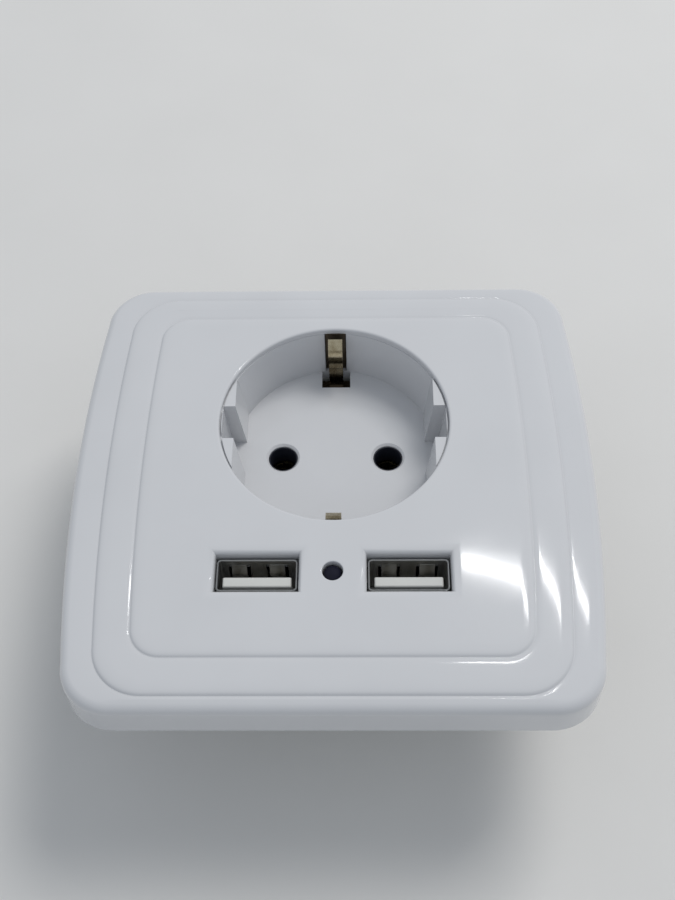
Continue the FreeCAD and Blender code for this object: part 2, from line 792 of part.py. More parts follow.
def make_support_frame():
    """The pressed steel frame that is screwed or clawed to the wall box."""
    body = doc.addObject("PartDesign::Body", "support_frame_body")
    plate = sketch_on(body, "frame_outline")
    draw_rectangle(plate, 0, 0, frame_half_width * 2, frame_half_height * 2)
    sheet = pad(body, "frame_sheet", plate, s["frame_thickness"])
    corners = edges_where(sheet, lambda edge: edge.BoundBox.ZLength > s["frame_thickness"].value / 2)
    dress(body, "Fillet", "frame_corners", sheet, corners, s["frame_corner"])

    well_hole = sketch_on(body, "frame_well_outline", y=s["well_offset"], z=frame_top)
    draw_circle(well_hole, 0, 0, well_outer + s["frame_well_clearance"])
    pocket(body, "frame_well_hole", well_hole, s["frame_thickness"])
    port_hole = sketch_on(body, "frame_port_outline", z=frame_top)
    draw_rectangle(port_hole, 0, (s["frame_window_low"] + s["frame_window_high"]) / 2,
                   s["frame_window_half_width"] * 2, s["frame_window_high"] - s["frame_window_low"])
    pocket(body, "frame_port_hole", port_hole, s["frame_thickness"])

    slots = sketch_on(body, "frame_slot_outline", z=frame_top)
    hook_width = s["claw_sheet"] + s["claw_slot_clearance"] * 2
    for side in (-1, 1):
        draw_slot(slots, s["box_screw_spacing"] / 2 * side, 0, s["box_slot_length"], s["box_slot_width"])
        draw_rectangle(slots, claw_x * side, s["claw_y"], hook_width, s["claw_width"] + s["claw_slot_clearance"])
        draw_circle(slots, s["post_x"] * side, s["post_y"], s["tapping_diameter"] / 2 + s["tapping_play"])
    pocket(body, "frame_slots", slots, s["frame_thickness"])
    claw_holes = sketch_on(body, "claw_hole_outline", z=frame_top)
    for side in (-1, 1):
        draw_rectangle(claw_holes, claw_screw_x * side, s["claw_y"],
                       s["claw_screw_diameter"] + s["claw_slot_clearance"] * 2,
                       s["claw_screw_diameter"] + s["claw_slot_clearance"])
    pocket(body, "claw_holes", claw_holes, s["frame_thickness"])

    tabs = sketch_on(body, "tab_outline", z=frame_top)
    windows = sketch_on(body, "tab_window_outline", role="YZ_Plane",
                        y=frame_top + s["snap_clearance"] + s["tab_window_height"] / 2)
    for side in (-1, 1):
        for level_y in (-s["snap_y"], s["snap_y"]):
            draw_rectangle(tabs, (tab_x + s["frame_thickness"] / 2) * side, level_y,
                           s["frame_thickness"], s["snap_width"])
    for level_y in (-s["snap_y"], s["snap_y"]):
        draw_rectangle(windows, level_y, 0, s["snap_width"] / 2 + s["snap_clearance"] * 2, s["tab_window_height"])
    pad(body, "frame_tabs", tabs, s["tab_height"] - s["frame_thickness"])
    through = pocket(body, "tab_windows", windows, frame_half_width * 2)
    through.Midplane = True
    doc.recompute()
    return node("support_frame", body)


def make_base_housing():
    """The moulded base that holds the contacts, terminals and charger."""
    wide, low = s["base_upper_radius"], s["base_lower_radius"]
    wall, half = s["base_wall"], s["base_half_width"]
    rear = -s["base_depth"]
    outside = fuse("base_outside", [
        flat_barrel("base_upper", wide, half, (-wide, wide), (step_z - wall, 0)),
        flat_barrel("base_lower", low, half, (-low, s["base_top"]), (rear, 0)),
    ])
    hollow = [
        flat_barrel("base_upper_hollow", wide - wall, base_inside, (wall - wide, wide - wall), (step_z, 1)),
        flat_barrel("base_lower_hollow", low - wall, base_inside, (wall - low, s["base_top"] - wall),
                    (rear_inside, 1)),
        rod("base_well_room", 0, s["well_offset"], (well_under - s["base_fit"], 1), well_outer + s["base_fit"]),
    ]
    shell = cut("base_shell", outside, hollow)
    ribs = [
        rod("post_left", -s["post_x"], s["post_y"], (step_z, 0), s["post_diameter"] / 2),
        rod("post_right", s["post_x"], s["post_y"], (step_z, 0), s["post_diameter"] / 2),
        block("left_post_foot", (-half, -s["post_x"]),
              (s["post_y"] - s["post_diameter"] / 2, s["post_y"] + s["post_diameter"] / 2), (step_z - wall, 0)),
        block("right_post_foot", (s["post_x"], half),
              (s["post_y"] - s["post_diameter"] / 2, s["post_y"] + s["post_diameter"] / 2), (step_z - wall, 0)),
    ]
    cage_half = s["cage_width"] / 2 + s["base_fit"]
    for name, x, y in cage_places():
        front = y - s["cage_length"] / 2
        for side, label in ((-1, "left"), (1, "right")):
            edge = x + (cage_half + wall / 2) * side
            ribs.append(block("%s_%s_rib" % (name, label), (edge - wall / 2, edge + wall / 2),
                              (front, s["base_top"] - wall / 2), (rear, cage_window_low)))
    inside = common("base_ribs", fuse("base_rib_set", ribs), outside)
    solid = fuse("base_solid", [shell, inside])
    openings = []
    for name, x, y in cage_places():
        openings.append(rod(name + "_driver_hole", x, y, (rear - 1, rear_inside + 1),
                            s["driver_hole_diameter"] / 2))
        openings.append(rod_along_y(name + "_wire_hole", x, (y + s["cage_length"] / 2, s["base_top"] + 1),
                                    wire_height(), s["wire_entry_diameter"] / 2))
    for side, label in ((-1, "left"), (1, "right")):
        openings.append(rod(label + "_tapping_hole", s["post_x"] * side, s["post_y"],
                            (-s["tapping_length"], 1), s["tapping_diameter"] / 2 + s["tapping_play"]))
    return node("base_housing", cut("base_housing_body", solid, openings))


def cage_places():
    """Name and plan position of each terminal."""
    return (
        ("line", -s["cage_x"], s["cage_y"]),
        ("neutral", s["cage_x"], s["cage_y"]),
        ("earth", as_size(0), s["earth_cage_y"]),
    )


def wire_height():
    """Height of the wire axis, midway in the free part of a terminal."""
    return (bar_low + s["earth_sheet"] + cage_window_high) / 2


def make_contact_carrier():
    """The insulating plate that covers the sleeves and carries the earth strap."""
    reach = s["base_upper_radius"] - s["base_wall"] - s["base_fit"]
    plate = flat_barrel("carrier_plate", reach, base_inside - s["base_fit"], (s["carrier_low"], reach),
                        (step_z, carrier_top))
    tools = []
    for side, label in ((-1, "left"), (1, "right")):
        tools.append(rod(label + "_carrier_hole", pin_x * side, s["well_offset"], (step_z - 1, carrier_top + 1),
                         pin_hole_radius + s["base_fit"]))
        tools.append(block(label + "_carrier_notch", notch_span(side),
                           (s["carrier_low"] - 1, s["post_y"] + s["post_diameter"] / 2 + s["base_fit"]),
                           (step_z - 1, carrier_top + 1)))
    tail_y = earth_tail_y()
    tail_half = s["clamp_bar_width"] / 2 + s["base_fit"]
    tools.append(block("carrier_tail_hole", (-tail_half, tail_half),
                       (tail_y - s["earth_sheet"], tail_y + s["earth_sheet"]), (step_z - 1, carrier_top + 1)))
    return node("contact_carrier", cut("contact_carrier_body", plate, tools))


def notch_span(side):
    """Span in X of the notch round a screw post, from inside the post to past the side wall."""
    inner = s["post_x"] - s["post_diameter"]
    outer = s["base_half_width"]
    return (inner, outer) if side > 0 else (-outer, -inner)


def earth_tail_y():
    """Middle of the earth strap's tail, just below its terminal."""
    return s["earth_cage_y"] - s["cage_length"] / 2 - s["base_fit"] - s["earth_sheet"] / 2


def make_earth_bridge():
    """One strip of spring brass: strap, two bowed clips and the terminal tail."""
    sheet = s["earth_sheet"].value
    middle = s["well_offset"].value
    low = (carrier_top + s["earth_sheet"] / 2).value
    leg = (well_foot_radius - s["earth_leg_gap"]).value
    crest = (s["well_mouth_radius"] - s["earth_crest_reach"]).value
    tip = face.value - s["earth_tip_drop"].value
    crest_z = face.value - s["earth_crest_drop"].value
    knee_z = well_foot.value + 2 * sheet
    back = s["well_mouth_radius"].value + s["well_wall"].value / 2 - sheet
    half_profile = [(leg, low), (leg, knee_z), (back, knee_z + sheet * 2), (crest + sheet / 2, crest_z),
                    (back - sheet, tip)]
    points = [(middle - y, z) for y, z in reversed(half_profile)]
    points += [(middle + y, z) for y, z in half_profile]
    turn = Placement(Vector(-s["earth_clip_width"].value / 2, 0, 0), Rotation(Vector(1, 1, 1), 120))
    clips = bent_sheet(points, s["earth_bend"].value, sheet, s["earth_clip_width"].value, turn)
    half = s["earth_strap_width"].value / 2
    strap = solid_box((-half, half), (middle - leg / 2, middle + leg / 2), (low - sheet / 2, low + sheet / 2))
    tail_y = earth_tail_y().value
    tail = clamp_tail(0, s["earth_cage_y"], sheet, low)
    return node("earth_bridge", shaped("earth_bridge_strip", clips.fuse([strap, tail]).removeSplitter()))


def clamp_tail(x, cage_y, sheet, top):
    """A strip down to a terminal and along through its window, for the wire to be pressed on."""
    half = s["clamp_bar_width"].value / 2
    low = bar_low.value
    near = (cage_y - s["cage_length"] / 2 - s["base_fit"]).value - sheet
    far = (cage_y + s["cage_length"] / 2).value
    drop = solid_box((x - half, x + half), (near, near + sheet), (low, top))
    bar = solid_box((x - half, x + half), (near, far), (low, low + sheet))
    return drop.fuse(bar)


def make_line_contact():
    """One stamped brass contact: pin sleeve, tail to its terminal and bus to the board."""
    sheet = s["sleeve_sheet"].value
    x, y = -pin_x.value, s["well_offset"].value
    inner = s["pin_diameter"].value / 2 + s["sleeve_play"].value
    top = step_z.value - sheet
    low = top - s["sleeve_length"].value
    ring = Part.makeCylinder(inner + sheet, top - low, Vector(x, y, low))
    ring = ring.cut(Part.makeCylinder(inner, top - low, Vector(x, y, low)))
    split = solid_box((x, x + inner * 2), (y - sheet, y + sheet), (low, top))
    side = x - inner - sheet
    bus = solid_box((side, side + sheet), (solder_y().value - sheet, y), (top - s["bus_height"].value, top))
    tab = solid_box((side, side + sheet), (solder_y().value - sheet, solder_y().value + sheet),
                    (top - s["bus_height"].value, board_top.value + sheet))
    tail = clamp_tail(-s["cage_x"].value, s["cage_y"], sheet, top)
    near = tail.BoundBox.YMin
    reach = x - math.sqrt((inner + sheet / 2) ** 2 - (y - near - sheet / 2) ** 2)
    link = solid_box((tail.BoundBox.XMin, reach), (near, near + sheet), (top - s["bus_height"].value, top))
    shape = ring.cut(split).fuse([bus, tab, tail, link]).removeSplitter()
    return node("line_contact", shaped("line_contact_strip", shape))


def solder_y():
    """Where the contact's solder tab passes through the board."""
    return s["board_high"] - s["sleeve_sheet"] * 2


def make_terminal(name, x, y):
    """A rising clamp terminal: the brass cage and the captive screw that draws it down."""
    half_w, half_l = s["cage_width"] / 2, s["cage_length"] / 2
    wall = s["cage_wall"]
    cage = cut(name + "_cage", block(name + "_cage_block", (x - half_w, x + half_w), (y - half_l, y + half_l),
                                     (cage_low, cage_top)), [
        block(name + "_cage_window", (x - half_w + wall, x + half_w - wall), (y - half_l - 1, y + half_l + 1),
              (cage_window_low, cage_window_high)),
        rod(name + "_cage_thread", x, y, (cage_low - 1, cage_window_low + 1),
            s["screw_diameter"] / 2 + s["screw_play"]),
    ])
    node(name + "_terminal", cage)

    shank = rod(name + "_screw_shank", x, y, (head_low, cage_window_low - s["clamp_play"]),
                s["screw_diameter"] / 2)
    head = rod(name + "_screw_head", x, y, (head_low, head_top), s["screw_head_diameter"] / 2)
    slot = block(name + "_screw_slot", (x - s["screw_head_diameter"], x + s["screw_head_diameter"]),
                 (y - s["driver_slot_width"] / 2, y + s["driver_slot_width"] / 2),
                 (head_low - 1, head_low + s["driver_slot_depth"]))
    screw = cut(name + "_screw", fuse(name + "_screw_blank", [shank, head]), [slot])
    node(name + "_terminal_screw", screw)


def make_claw():
    """The left spreading claw: hook over the frame, threaded tab and toothed foot."""
    sheet = s["claw_sheet"].value
    hook_z = frame_top.value + s["claw_hook_play"].value + sheet / 2
    low = -s["claw_length"].value
    lever = -claw_x.value
    outward = -1
    points = [
        (lever + outward * s["claw_hook"].value, hook_z),
        (lever, hook_z),
        (lever, low),
        (lever + outward * s["claw_foot"].value, low - sheet),
    ]
    width = s["claw_width"].value
    turn = Placement(Vector(0, s["claw_y"].value + width / 2, 0), Rotation(Vector(1, 0, 0), 90))
    claw = bent_sheet(points, sheet * 0.75, sheet, width, turn)
    tab_z = -s["claw_tab_drop"].value
    reach = s["claw_tab_reach"].value
    y_low = s["claw_y"].value - width / 2 + sheet
    tab = solid_box((lever - reach, lever), (y_low, y_low + width - 2 * sheet), (tab_z - sheet, tab_z))
    hole = Part.makeCylinder(s["claw_screw_diameter"].value / 2 + s["screw_play"].value, sheet * 4,
                             Vector(-claw_screw_x.value, s["claw_y"].value, tab_z - sheet * 2))
    notch = s["claw_head_diameter"].value / 2 + s["claw_notch_play"].value
    outer_face = lever + outward * sheet / 2
    head_room = solid_box((outer_face - s["claw_hook"].value * 2, outer_face),
                          (s["claw_y"].value - notch, s["claw_y"].value + notch),
                          (frame_top.value, frame_top.value + sheet * 4))
    teeth = []
    pitch = width / 5
    foot_x = lever + outward * s["claw_foot"].value
    for index in (1, 3):
        y = s["claw_y"].value - width / 2 + pitch * index
        teeth.append(solid_box((foot_x - 2 * sheet, foot_x + sheet / 2), (y, y + pitch),
                               (low - 3 * sheet, low + sheet)))
    shape = claw.fuse(tab).cut([hole, head_room] + teeth).removeSplitter()
    return node("left_claw", shaped("left_claw_strip", shape))


def make_claw_screw():
    """The screw that draws the left claw outwards."""
    x, y = -claw_screw_x, s["claw_y"]
    under = frame_top + s["claw_head_lift"]
    crest = under + s["claw_head_height"]
    shank = rod("claw_shank", x, y, (under - s["claw_screw_length"], under), s["claw_screw_diameter"] / 2)
    head = rod("claw_head", x, y, (under, crest), s["claw_head_diameter"] / 2)
    slot = block("claw_driver_slot", (x - s["claw_head_diameter"], x + s["claw_head_diameter"]),
                 (y - s["driver_slot_width"] / 2, y + s["driver_slot_width"] / 2),
                 (crest - s["driver_slot_depth"], crest + 1))
    return node("left_claw_screw", cut("left_claw_screw_body", fuse("claw_screw_blank", [shank, head]), [slot]))


def make_frame_screws():
    """Two tapping screws that hold the frame on the base."""
    solids = []
    for side, label in ((-1, "left"), (1, "right")):
        x, y = s["post_x"] * side, s["post_y"]
        low = -s["tapping_length"] + s["base_fit"]
        shank = rod(label + "_tapping_shank", x, y, (low, frame_top), s["tapping_diameter"] / 2)
        head = rod(label + "_tapping_head", x, y, (frame_top, frame_top + s["tapping_head_height"]),
                   s["tapping_head_diameter"] / 2)
        solids.append(fuse(label + "_tapping_screw", [shank, head]))
    group = doc.addObject("Part::Compound", "frame_screw_pair")
    group.Links = solids
    return node("frame_screws", group)


def make_charger_board():
    """The circuit board that carries the ports, lamp and transformer."""
    reach = s["base_upper_radius"] - s["base_wall"] - s["base_fit"]
    plate = flat_barrel("board_plate", reach, base_inside - s["base_fit"], (-reach, s["board_high"]),
                        (step_z, board_top))
    span = (step_z - 1, board_top + 1)
    sheet, fit = s["sleeve_sheet"], s["base_fit"]
    bus_x = pin_x + s["pin_diameter"] / 2 + s["sleeve_play"] + sheet / 2
    tools = []
    for side, label in ((-1, "left"), (1, "right")):
        tools.append(block(label + "_solder_hole", (bus_x * side - sheet / 2 - fit, bus_x * side + sheet / 2 + fit),
                           (solder_y() - sheet - fit, solder_y() + sheet + fit), span))
        tools.append(rod(label + "_lead_hole", s["lead_pitch"] / 2 * side, s["port_y"], span, s["lead_side"]))
    return node("charger_board", cut("charger_board_body", plate, tools))


def make_usb_shell():
    """The left port's folded steel shell with two leaf springs in its upper wall."""
    body = doc.addObject("PartDesign::Body", "left_usb_shell_body")
    outer = sketch_on(body, "shell_outline", z=board_top)
    draw_rectangle(outer, -s["port_x"], s["port_y"], s["shell_width"], s["shell_height"])
    tube = pad(body, "shell_tube", outer, shell_front - board_top)
    upright = edges_where(tube, lambda edge: edge.BoundBox.ZLength > 1)
    dress(body, "Fillet", "shell_corners", tube, upright, s["shell_sheet"] * 2)
    inner = sketch_on(body, "shell_bore_outline", z=shell_front)
    draw_rectangle(inner, -s["port_x"], s["port_y"], s["shell_width"] - s["shell_sheet"] * 2,
                   s["shell_height"] - s["shell_sheet"] * 2)
    pocket(body, "shell_bore", inner, shell_front - board_top)
    springs = sketch_on(body, "spring_gap_outline", role="XZ_Plane",
                        z=-(s["port_y"] + s["shell_height"] / 2))
    gap, width = s["shell_spring_gap"], s["shell_spring_width"]
    top = shell_front - s["shell_spring_length"] / 3
    low = top - s["shell_spring_length"]
    for side in (-1, 1):
        middle = -s["port_x"] + s["shell_spring_spread"] * side
        left, right = middle - width / 2, middle + width / 2
        draw_polygon(springs, [
            (left - gap, top), (left - gap, low - gap), (right + gap, low - gap), (right + gap, top),
            (right, top), (right, low), (left, low), (left, top),
        ])
    pocket(body, "spring_gaps", springs, s["shell_sheet"] * 2, along_normal=True)
    return node("left_usb_shell", body)


def make_usb_tongue():
    """The left port's insulator: rear block and contact tongue."""
    play = s["tongue_play"]
    half_w = s["shell_width"] / 2 - s["shell_sheet"] - play
    half_h = s["shell_height"] / 2 - s["shell_sheet"] - play
    front = shell_front - s["tongue_recess"]
    shoulder = front - s["tongue_length"]
    low = s["port_y"] - s["shell_height"] / 2 + s["shell_sheet"] + s["tongue_lift"]
    rear = block("tongue_rear", (-s["port_x"] - half_w, -s["port_x"] + half_w),
                 (s["port_y"] - half_h, s["port_y"] + half_h), (board_top, shoulder))
    blade = block("tongue_blade", (-s["port_x"] - s["tongue_width"] / 2, -s["port_x"] + s["tongue_width"] / 2),
                  (low, low + s["tongue_thickness"]), (shoulder - play, front))
    return node("left_usb_tongue", fuse("left_usb_tongue_body", [rear, blade]))


def make_usb_contacts():
    """The left port's four flat contacts on the tongue."""
    front = shell_front - s["tongue_recess"]
    face_y = (s["port_y"] - s["shell_height"] / 2 + s["shell_sheet"] + s["tongue_lift"]
              + s["tongue_thickness"])
    solids = []
    for index, offset in enumerate((-s["contact_outer"], -s["contact_inner"], s["contact_inner"],
                                    s["contact_outer"])):
        x = -s["port_x"] + offset
        solids.append(block("contact_%d" % index, (x - s["contact_width"] / 2, x + s["contact_width"] / 2),
                            (face_y, face_y + s["contact_thickness"]),
                            (front - s["contact_length"] - s["tongue_recess"], front - s["tongue_recess"])))
    group = doc.addObject("Part::Compound", "left_contact_set")
    group.Links = solids
    return node("left_usb_contacts", group)


def make_status_led():
    """The indicator lamp between the ports: domed body, flange and two leads."""
    radius = s["lamp_diameter"] / 2
    tip = face - s["lamp_tip_drop"]
    dome_z = tip - radius
    low = dome_z - s["lamp_body"]
    dome = doc.addObject("Part::Sphere", "lamp_dome")
    bind(dome, Radius=radius)
    place(dome, 0, s["port_y"], dome_z)
    pieces = [
        dome,
        rod("lamp_barrel", 0, s["port_y"], (low, dome_z), radius),
        rod("lamp_flange_disc", 0, s["port_y"], (low, low + s["lamp_flange"] * 2), radius + s["lamp_flange"]),
    ]
    half = s["lead_side"] / 2
    for side, label in ((-1, "left"), (1, "right")):
        x = s["lead_pitch"] / 2 * side
        pieces.append(block(label + "_lead", (x - half, x + half), (s["port_y"] - half, s["port_y"] + half),
                            (step_z + s["lead_side"], low + s["lamp_flange"])))
    return node("status_led", fuse("status_led_body", pieces))


def make_transformer():
    """The charger's transformer under the board: ferrite core and wound bobbin."""
    half_w, half_l = s["core_width"] / 2, s["core_length"] / 2
    high, low = step_z, step_z - s["core_height"]
    limb, y = s["core_limb"], s["core_y"]
    frame = block("core_block", (-half_w, half_w), (y - half_l, y + half_l), (low, high))
    windows = [
        block("core_left_window", (-half_w + limb, -limb), (y - half_l - 1, y + half_l + 1),
              (low + limb, high - limb)),
        block("core_right_window", (limb, half_w - limb), (y - half_l - 1, y + half_l + 1),
              (low + limb, high - limb)),
    ]
    node("transformer_core", cut("transformer_core_body", frame, windows))
    play = s["winding_play"]
    outer = block("winding_block", (-half_w + limb + play, half_w - limb - play),
                  (y - half_l - limb / 2, y + half_l + limb / 2), (low + limb + play, high - limb - play))
    bore = block("winding_bore", (-limb - play, limb + play), (y - half_l - play, y + half_l + play),
                 (low, high))
    node("transformer_winding", cut("transformer_winding_body", outer, [bore]))


def make_capacitor(name, side):
    """A round capacitor standing under the board, with its crimped neck."""
    x, y = s["capacitor_x"] * side, s["capacitor_y"]
    radius = s["capacitor_diameter"] / 2
    can = rod(name + "_can", x, y, (step_z - s["capacitor_height"], step_z), radius)
    ring = doc.addObject("Part::Torus", name + "_neck")
    bind(ring, Radius1=radius + s["lead_side"] / 4, Radius2=s["lead_side"])
    place(ring, x, y, step_z - s["lead_side"] * 4)
    return node(name, cut(name + "_body", can, [ring]))


def check_document():
    """Stop if any object failed or any piece is empty."""
    doc.recompute()
    for item in doc.Objects:
        if "Invalid" in item.State or "Error" in item.State:
            raise RuntimeError("%s failed: %s" % (item.Label, item.State))
    for name, thing in nodes.items():
        shape = thing.Shape
        if shape.isNull() or not shape.isValid() or not shape.Solids:
            raise RuntimeError("%s has no sound solid" % name)


def export_nodes():
    """Write each piece to its own file."""
    os.makedirs("parts", exist_ok=True)
    for name, thing in nodes.items():
        thing.Shape.exportStep("parts/%s.step" % name)
        print("%-24s %2d solids %10.2f mm3" % (name, len(thing.Shape.Solids), thing.Shape.Volume))


make_front_cover()
make_support_frame()
make_base_housing()
make_contact_carrier()
make_earth_bridge()
node("neutral_contact", mirrored("neutral_contact_strip", make_line_contact()))
for terminal_name, terminal_x, terminal_y in cage_places():
    make_terminal(terminal_name, terminal_x, terminal_y)
node("right_claw", mirrored("right_claw_strip", make_claw()))
node("right_claw_screw", mirrored("right_claw_screw_body", make_claw_screw()))
make_frame_screws()
make_charger_board()
node("right_usb_shell", mirrored("right_usb_shell_body", make_usb_shell()))
node("right_usb_tongue", mirrored("right_usb_tongue_body", make_usb_tongue()))
node("right_usb_contacts", mirrored("right_contact_set", make_usb_contacts()))
make_status_led()
make_transformer()
make_capacitor("input_capacitor", -1)
make_capacitor("output_capacitor", 1)
check_document()
export_nodes()
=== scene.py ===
"""Looks for the flush wall socket: its finishes, its detailed face and fittings, and a plain studio.

Sizes are in millimetres until they reach a mesh, where MM turns them into metres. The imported
solids are the fixed frame: each one is dressed by a finer piece or by a finish, and none is moved.
"""

import json
import logging
import math
from contextlib import contextmanager
from dataclasses import astuple, dataclass, field, replace
from enum import Enum
from typing import ClassVar, Iterable, Iterator, Sequence

import bmesh
import bpy
from mathutils import Matrix, Vector

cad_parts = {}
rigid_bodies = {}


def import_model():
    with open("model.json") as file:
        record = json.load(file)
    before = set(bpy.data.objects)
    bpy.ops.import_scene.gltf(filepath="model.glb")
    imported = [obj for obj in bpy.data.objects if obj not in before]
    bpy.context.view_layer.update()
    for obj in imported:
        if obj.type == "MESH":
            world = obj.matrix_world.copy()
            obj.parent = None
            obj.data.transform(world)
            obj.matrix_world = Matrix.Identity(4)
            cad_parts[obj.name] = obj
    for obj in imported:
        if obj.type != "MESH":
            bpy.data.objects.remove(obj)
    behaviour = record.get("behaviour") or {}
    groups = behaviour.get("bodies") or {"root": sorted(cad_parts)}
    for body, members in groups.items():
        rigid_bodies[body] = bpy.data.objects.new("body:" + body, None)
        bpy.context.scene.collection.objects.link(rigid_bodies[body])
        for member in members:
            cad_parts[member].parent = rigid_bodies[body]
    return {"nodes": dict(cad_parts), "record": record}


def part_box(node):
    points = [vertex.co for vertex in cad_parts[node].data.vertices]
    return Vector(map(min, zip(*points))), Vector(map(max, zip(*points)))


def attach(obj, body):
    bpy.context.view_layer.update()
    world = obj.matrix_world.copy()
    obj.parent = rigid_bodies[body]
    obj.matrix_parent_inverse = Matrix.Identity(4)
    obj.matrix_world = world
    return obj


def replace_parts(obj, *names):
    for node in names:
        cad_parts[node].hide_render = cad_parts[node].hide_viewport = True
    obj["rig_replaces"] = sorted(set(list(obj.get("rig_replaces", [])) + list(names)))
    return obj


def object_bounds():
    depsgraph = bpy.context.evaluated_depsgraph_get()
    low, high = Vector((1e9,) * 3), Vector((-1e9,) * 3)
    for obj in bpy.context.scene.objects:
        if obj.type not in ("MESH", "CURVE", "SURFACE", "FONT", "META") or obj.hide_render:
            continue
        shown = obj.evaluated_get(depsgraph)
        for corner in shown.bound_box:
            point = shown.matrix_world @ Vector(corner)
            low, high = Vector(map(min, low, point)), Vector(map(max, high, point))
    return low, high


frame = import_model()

CAD_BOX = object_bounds()
MM = 0.001
# Distances in metres under which vertices are one: in new pieces, and in copies of the solids.
MERGE = 1e-7
WELD = 2e-6
# How far a cutting solid passes through what it cuts, in millimetres.
CLEAR = 1.0
# Edges sharper than this are kept as edges and rounded finely.
SHARP = math.radians(32.0)
EDGE_STEPS = 2
FLAT_WEIGHT = 90
# Places on the socket that several pieces share, in millimetres.
WELL_Y = 10.7
PIN_X = 9.5
log = logging.getLogger("wall_socket")

BMesh = bmesh.types.BMesh
BMVert = bmesh.types.BMVert
Piece = bpy.types.Object
Socket = bpy.types.NodeSocket
Colour = tuple[float, float, float]
Place = tuple[float, float, float]
Pair = tuple[float, float]


class Carve(Enum):
    """How one solid works on another."""

    ADD = "UNION"
    TAKE = "DIFFERENCE"


class Side(Enum):
    """Left or right half of the socket, seen from the front."""

    LEFT = -1
    RIGHT = 1

    @property
    def label(self) -> str:
        """The side's name as the nodes spell it."""
        return self.name.lower()

    @property
    def port(self) -> Vector:
        """The middle of this side's port shell, in millimetres."""
        low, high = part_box(self.label + "_usb_shell")
        return (low + high) / 2 / MM


# Finishes


